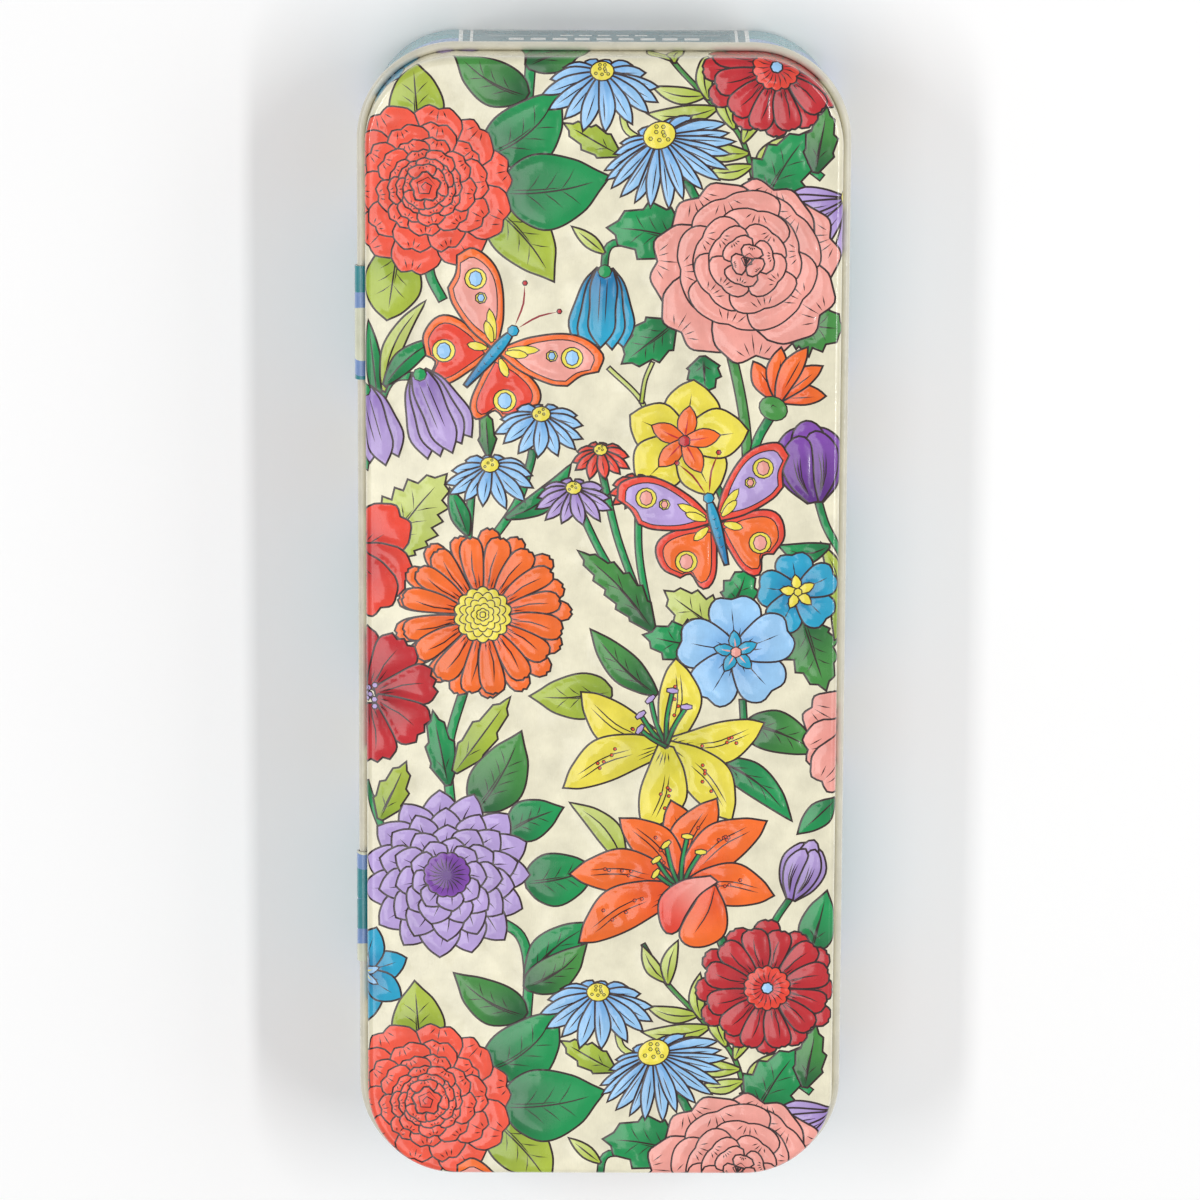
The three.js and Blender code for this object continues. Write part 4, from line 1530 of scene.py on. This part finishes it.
FINE_GRID = 0.75  # spacing of mesh points on the relief
COARSE_GRID = 4.0  # spacing of mesh points on flat ground
INSIDE_GRID = 1.1  # spacing of mesh points on the inside of the lid
TONGUE_GRID = (1.0, 0.25)  # spacing along and round a tongue
EDGE_MARGIN = 0.2  # of those mesh points from the edge of the lid's face


def fold_distances(section, steps=10):
    """Distances along a section at which the sheet turns."""
    return [float(section.along[i]) for i in range(steps + 1)]


def add_window_rims(parts, form):
    """The sheet's cut edge round each window of the skirt."""
    down = np.linspace(form.window_top, HINGE_Z, 6)
    bead = (form.bead, HINGE_Z)
    side_outer = [(0.0, z) for z in down] + arc(bead, (form.bead, form.bead), 180, 270, 8)
    side_inner = [(-form.sheet, z) for z in down]
    side_inner += arc(bead, (form.bead + form.sheet, form.bead), 180, 270, 8)
    wall = form.outline.half_y
    for low, high in form.windows:
        for x in (low, high):
            parts.strip(
                np.array([(x, wall + out, up) for out, up in side_outer]),
                np.array([(x, wall + out, up) for out, up in side_inner]),
            )
        across = np.linspace(low, high, 12)
        parts.strip(
            np.array([(x, wall, form.window_top) for x in across]),
            np.array([(x, wall - form.sheet, form.window_top) for x in across]),
        )


def inside_edge(form):
    """A test for grid points that lie well inside the edge of the lid's face."""
    return lambda grid: form.face.outside(grid[:, 1], -grid[:, 0])[0] < -EDGE_MARGIN


def settings_of(context):
    scene = context.scene
    return scene.tin_sheet, scene.tin_print, scene.tin_finish


class TIN_OT_lid_print(bpy.types.Operator):
    """Make the printed, embossed outer face of the lid"""

    bl_idname = "tin.lid_print"
    bl_label = "Lid print"

    def execute(self, context):
        sizes, inks, _ = settings_of(context)
        form = LidForm(sizes)
        drawing = lid_drawing(inks)
        relief = Relief(drawing, form.face.half_y, form.face.half_x)
        section = form.outer
        folds = [form.face.loop(distance) * 1j for distance in fold_distances(section)]
        domain = form.face.loop(section.length) * 1j
        loose = relief.grid(FINE_GRID, COARSE_GRID, inside_edge(form))
        windows = form.window_outlines(section)
        flat, triangles, tops = cut_sheet(domain, folds, drawing.shapes, windows, loose)
        places, normals = form.press(flat, section, relief)
        parts = MeshParts()
        parts.add(places, triangles.tolist(), normals)
        colours = corner_colours(flat, triangles, tops, drawing, "paper")
        piece = make_piece("lid_print", parts, print_material("flower_print"), colours)
        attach(piece, "lid")
        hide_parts("hinged_lid")
        return {"FINISHED"}


class TIN_OT_lid_inside(bpy.types.Operator):
    """Make the bare inside of the lid, with the relief pressed through it"""

    bl_idname = "tin.lid_inside"
    bl_label = "Lid inside"

    def execute(self, context):
        sizes, inks, finish = settings_of(context)
        form = LidForm(sizes)
        relief = Relief(lid_drawing(inks), form.face.half_y, form.face.half_x)
        section = form.inner
        folds = [form.face.loop(float(distance)) * 1j for distance in section.along[:-1]]
        domain = form.face.loop(section.length) * 1j
        loose = relief.grid(INSIDE_GRID, COARSE_GRID, inside_edge(form))
        flat, triangles, _ = cut_sheet(domain, folds, [], form.window_outlines(section), loose)
        places, normals = form.press(flat, section, relief, form.sheet)
        parts = MeshParts()
        parts.add(places, triangles[:, ::-1].tolist(), normals)
        add_window_rims(parts, form)
        material = shared_material("bare_tinplate", tinplate_material, linear(finish, "metal"))
        piece = make_piece("lid_inside", parts, material)
        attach(piece, "lid")
        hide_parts("hinged_lid")
        return {"FINISHED"}


class TIN_OT_lid_bead(bpy.types.Operator):
    """Make the rolled bead along the lid's lower edge"""

    bl_idname = "tin.lid_bead"
    bl_label = "Lid bead"

    def execute(self, context):
        sizes, _, finish = settings_of(context)
        form = LidForm(sizes)
        radius = form.bead
        roll = Section(arc((0, 0), (radius, radius), 0, 345, 23), left=False)
        stations = form.outline.stations(straight=3.0, corner_steps=30)
        rows, normals = sweep(form.outline, roll, stations, (radius, HINGE_Z))
        parts = MeshParts()
        add_sweep(parts, rows, normals, roll.left, closed_section=True)
        material = lacquer_material(linear(finish, "bead"))
        piece = make_piece("lid_bead", parts, material)
        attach(piece, "lid")
        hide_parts("hinged_lid")
        return {"FINISHED"}


class TIN_OT_tray_print(bpy.types.Operator):
    """Make the printed outer face of the tray, with its rim and the outer faces of its tongues"""

    bl_idname = "tin.tray_print"
    bl_label = "Tray print"

    def execute(self, context):
        sizes, inks, _ = settings_of(context)
        form = TrayForm(sizes)
        drawing = tray_drawing(inks, form)
        around, high = form.outline.around, form.outer.length
        start = -around / 4
        columns = np.append(start + form.outline.stations(), start + around)
        domain = [complex(u, 0) for u in columns] + [complex(u, high) for u in columns[::-1]]
        folds = []
        for below, above in zip(form.outer.along[:-1], form.outer.along[1:]):
            if below > 0:
                folds.append(box_outline(start, start + around, below, above))
        # Upright folds stand in the corners only: in a long straight run they would cut across the tongues.
        bends = form.outline.stations(straight=around)
        bends = np.where(bends < start + around, bends, bends - around)
        for left, right in zip(bends[:-1:2], bends[1::2]):
            if right > left:
                folds.append(box_outline(left, right, 0, high))
        loose = []
        for middle in form.tongue_middles:
            left, right, low, top = form.tongue_zone(middle)
            columns = np.arange(left, right + 0.01, TONGUE_GRID[0])
            rows = np.arange(low + TONGUE_GRID[1], top, TONGUE_GRID[1])
            loose.append(np.column_stack([part.ravel() for part in np.meshgrid(columns, rows)]))
        holes = [form.lance_outline(middle) for middle in form.tongue_middles]
        flat, triangles, tops = cut_sheet(domain, folds, drawing.shapes, holes, np.vstack(loose))
        places, normals = form.press(flat)
        parts = MeshParts()
        parts.add(places, triangles.tolist(), normals)
        colours = corner_colours(flat, triangles, tops, drawing, "teal")
        piece = make_piece("tray_print", parts, print_material("ring_print"), colours)
        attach(piece, "tray")
        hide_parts("base_tray")
        return {"FINISHED"}


class TIN_OT_tray_inside(bpy.types.Operator):
    """Make the bare inside of the tray, with the cut edges where the tongues left the wall"""

    bl_idname = "tin.tray_inside"
    bl_label = "Tray inside"

    def execute(self, context):
        sizes, _, finish = settings_of(context)
        form = TrayForm(sizes)
        section = form.inner
        wall_start = float(np.interp(form.root, section.points[:, 1], section.along))
        stations = form.outline.stations()
        parts = MeshParts()
        rows, normals = sweep(form.outline, section, stations)
        below = int(np.searchsorted(section.along, wall_start))
        add_sweep(parts, rows[:below], normals[:below], section.left)
        self.add_upper_wall(parts, form, stations)
        self.add_floor(parts, rows[0])
        material = shared_material("bare_tinplate", tinplate_material, linear(finish, "metal"))
        piece = make_piece("tray_inside", parts, material)
        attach(piece, "tray")
        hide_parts("base_tray")
        return {"FINISHED"}

    @staticmethod
    def add_floor(parts, row):
        parts.add(row, [tuple(range(len(row)))], np.tile((0, 0, 1), (len(row), 1)))

    @staticmethod
    def add_upper_wall(parts, form, stations):
        """The wall above the floor's radius, with a hole behind each tongue."""
        edge = float(form.inner.points[-2][1])
        heights = (edge, form.root, form.lance_top, form.inner.points[-1][1])
        half = form.tongue_half + form.cut
        cuts = [middle + side * half for middle in form.tongue_middles for side in (-1, 1)]
        stops = np.unique(np.round(np.concatenate((stations, cuts)), 6))
        for low, high in zip(heights[:-1], heights[1:]):
            for i, u in enumerate(stops):
                after = stops[(i + 1) % len(stops)] + (form.outline.around if i + 1 == len(stops) else 0)
                between = (u + after) / 2
                behind = any(abs(between - middle) < half for middle in form.tongue_middles)
                if behind and low == form.root:
                    continue
                x, y, out_x, out_y = form.outline.at(np.array([u, after]))
                x, y = x - out_x * form.sheet, y - out_y * form.sheet
                corners = [(x[0], y[0], low), (x[0], y[0], high), (x[1], y[1], high), (x[1], y[1], low)]
                inward = [(-out_x[k], -out_y[k], 0) for k in (0, 0, 1, 1)]
                parts.add(corners, [(0, 1, 2, 3)], np.array(inward))
        wall = form.outline.half_y
        for middle in form.tongue_middles:
            x, y, _, _ = form.outline.at(np.array([middle - half, middle + half]))
            low, high = form.root, form.lance_top
            rim = [(x[0], low), (x[0], high), (x[1], high), (x[1], low)]
            parts.strip(
                np.array([(across, wall, up) for across, up in rim]),
                np.array([(across, wall - form.sheet, up) for across, up in rim]),
                closed=True,
            )


class TIN_OT_tray_underside(bpy.types.Operator):
    """Make the underside of the tray: the ring that it rests on and the raised floor panel"""

    bl_idname = "tin.tray_underside"
    bl_label = "Tray underside"

    def execute(self, context):
        sizes, _, finish = settings_of(context)
        form = TrayForm(sizes)
        rows, normals = sweep(form.outline, form.under, form.outline.stations())
        parts = MeshParts()
        add_sweep(parts, rows, normals, form.under.left)
        parts.add(rows[0], [tuple(range(len(rows[0])))[::-1]], np.tile((0, 0, -1), (len(rows[0]), 1)))
        material = shared_material("bare_tinplate", tinplate_material, linear(finish, "metal"))
        piece = make_piece("tray_underside", parts, material)
        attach(piece, "tray")
        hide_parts("base_tray")
        return {"FINISHED"}


class TIN_OT_hinge_tongues(bpy.types.Operator):
    """Make the bare inner faces and cut edges of both tongues"""

    bl_idname = "tin.hinge_tongues"
    bl_label = "Hinge tongues"

    def execute(self, context):
        sizes, _, finish = settings_of(context)
        form = TrayForm(sizes)
        shares = np.linspace(0, 1, 60)
        outer = form.tongue_outer.at(shares * form.tongue_outer.length)
        inner = form.tongue_inner.at(shares * form.tongue_inner.length)
        parts = MeshParts()

        def row(across, bent):
            return np.column_stack((np.full(len(shares), across), HINGE_Y + bent[0], HINGE_Z + bent[1]))

        for middle in form.tongue_middles:
            x, _, _, _ = form.outline.at(np.array([middle - form.tongue_half, middle + form.tongue_half]))
            inward = np.column_stack((np.zeros(len(shares)), inner[2], inner[3]))
            across = np.linspace(x[0], x[1], 12)
            for first, second in zip(across[:-1], across[1:]):
                faces = [(i, i + 1, len(shares) + i + 1, len(shares) + i) for i in range(len(shares) - 1)]
                pair = np.vstack((row(first, inner), row(second, inner)))
                parts.add(pair, faces, np.vstack((inward, inward)))
            for side in x:
                parts.strip(row(side, outer), row(side, inner))
            corners = ((x[0], outer), (x[1], outer), (x[1], inner), (x[0], inner))
            parts.add([row(side, bent)[-1] for side, bent in corners], [(0, 1, 2, 3)])
        material = shared_material("bare_tinplate", tinplate_material, linear(finish, "metal"))
        piece = make_piece("hinge_tongues", parts, material)
        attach(piece, "tray")
        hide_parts("base_tray")
        return {"FINISHED"}


CAMERA_TARGET = (3.8, 0.35, 26.0)  # the point that the camera looks at
SENSOR_WIDTH = 36.0
FLOOR_HALF = 2.5  # metres from the middle of the floor to its edge
# Name, place and size in metres, power in watts. Each light is turned to face the X axis.
SOFT_LIGHTS = (
    ("softbox", (-0.35, 0.37, 1.5), (1.0, 0.7), 4.0),
    ("right_strip", (0.1, -0.85, 1.25), (1.0, 0.1), 6.5),
    ("left_strip", (0.2, 0.95, 1.15), (0.8, 0.12), 6.0),
    ("fill", (0.3, -1.1, 0.8), (1.4, 0.5), 3.0),
)


class TIN_OT_stage(bpy.types.Operator):
    """Make the pale floor, the soft lights and the camera"""

    bl_idname = "tin.stage"
    bl_label = "Stage"

    def execute(self, context):
        stage = context.scene.tin_stage
        self.add_floor(stage)
        self.add_lights(context.scene, stage)
        self.add_camera(context.scene, stage)
        return {"FINISHED"}

    @staticmethod
    def add_floor(stage):
        mesh = bpy.data.meshes.new("floor")
        corners = box_outline(-FLOOR_HALF, FLOOR_HALF, -FLOOR_HALF, FLOOR_HALF)
        mesh.from_pydata([(corner.real, corner.imag, 0) for corner in corners], [], [(0, 1, 2, 3)])
        mesh.materials.append(floor_material(linear(stage, "floor")))
        floor = bpy.data.objects.new("floor", mesh)
        bpy.context.scene.collection.objects.link(floor)

    @staticmethod
    def add_lights(scene, stage):
        world = bpy.data.worlds.new("studio")
        world.use_nodes = True
        background = world.node_tree.nodes["Background"]
        background.inputs["Color"].default_value = (1, 1, 1, 1)
        background.inputs["Strength"].default_value = stage.daylight
        scene.world = world
        scene.view_settings.view_transform = "Standard"
        for name, place, size, power in SOFT_LIGHTS:
            light = bpy.data.lights.new(name, "AREA")
            light.shape = "RECTANGLE"
            light.size, light.size_y = size
            light.energy = power
            lamp = bpy.data.objects.new(name, light)
            lamp.location = place
            lamp.rotation_euler = (math.atan2(-place[1], place[2]), 0, 0)
            scene.collection.objects.link(lamp)

    @staticmethod
    def add_camera(scene, stage):
        away = Vector((
            math.cos(stage.elevation) * math.cos(stage.azimuth),
            math.cos(stage.elevation) * math.sin(stage.azimuth),
            math.sin(stage.elevation),
        ))
        target = Vector(CAMERA_TARGET) * MM
        up = Vector((1, 0, 0)) - away * away.x
        up.normalize()
        right = up.cross(away)
        turn = Matrix.Rotation(stage.roll, 3, away)
        camera = bpy.data.objects.new("camera", bpy.data.cameras.new("camera"))
        axes = Matrix((turn @ right, turn @ up, away)).transposed()
        camera.matrix_world = Matrix.Translation(target + away * stage.distance) @ axes.to_4x4()
        camera.data.lens = stage.lens
        camera.data.sensor_width = SENSOR_WIDTH
        camera.data.clip_end = 20.0
        scene.collection.objects.link(camera)
        scene.camera = camera


OPERATORS = (
    TIN_OT_lid_print, TIN_OT_lid_inside, TIN_OT_lid_bead, TIN_OT_tray_print, TIN_OT_tray_inside,
    TIN_OT_tray_underside, TIN_OT_hinge_tongues, TIN_OT_stage,
)


class TIN_PT_panel(bpy.types.Panel):
    """Lists the operators and the settings"""

    bl_idname = "TIN_PT_panel"
    bl_label = "Hinged printed tin"
    bl_space_type = "VIEW_3D"
    bl_region_type = "UI"
    bl_category = "Tin"

    def draw(self, context):
        scene = context.scene
        for operator in OPERATORS:
            self.layout.operator(operator.bl_idname)
        for settings in (scene.tin_sheet, scene.tin_print, scene.tin_finish, scene.tin_stage):
            box = self.layout.box()
            for name in settings.__annotations__:
                box.prop(settings, name)


SETTINGS = {
    "tin_sheet": TinSheetSettings,
    "tin_print": PrintSettings,
    "tin_finish": FinishSettings,
    "tin_stage": StageSettings,
}


def register():
    for made in (*SETTINGS.values(), *OPERATORS, TIN_PT_panel):
        bpy.utils.register_class(made)
    for name, group in SETTINGS.items():
        setattr(bpy.types.Scene, name, PointerProperty(type=group))


def unregister():
    for name in SETTINGS:
        delattr(bpy.types.Scene, name)
    for made in (TIN_PT_panel, *reversed(OPERATORS), *reversed(SETTINGS.values())):
        bpy.utils.unregister_class(made)


def main():
    register()
    bpy.ops.tin.stage()
    bpy.ops.tin.lid_print()
    bpy.ops.tin.lid_inside()
    bpy.ops.tin.lid_bead()
    bpy.ops.tin.tray_print()
    bpy.ops.tin.tray_inside()
    bpy.ops.tin.tray_underside()
    bpy.ops.tin.hinge_tongues()


if __name__ == "__main__":
    main()
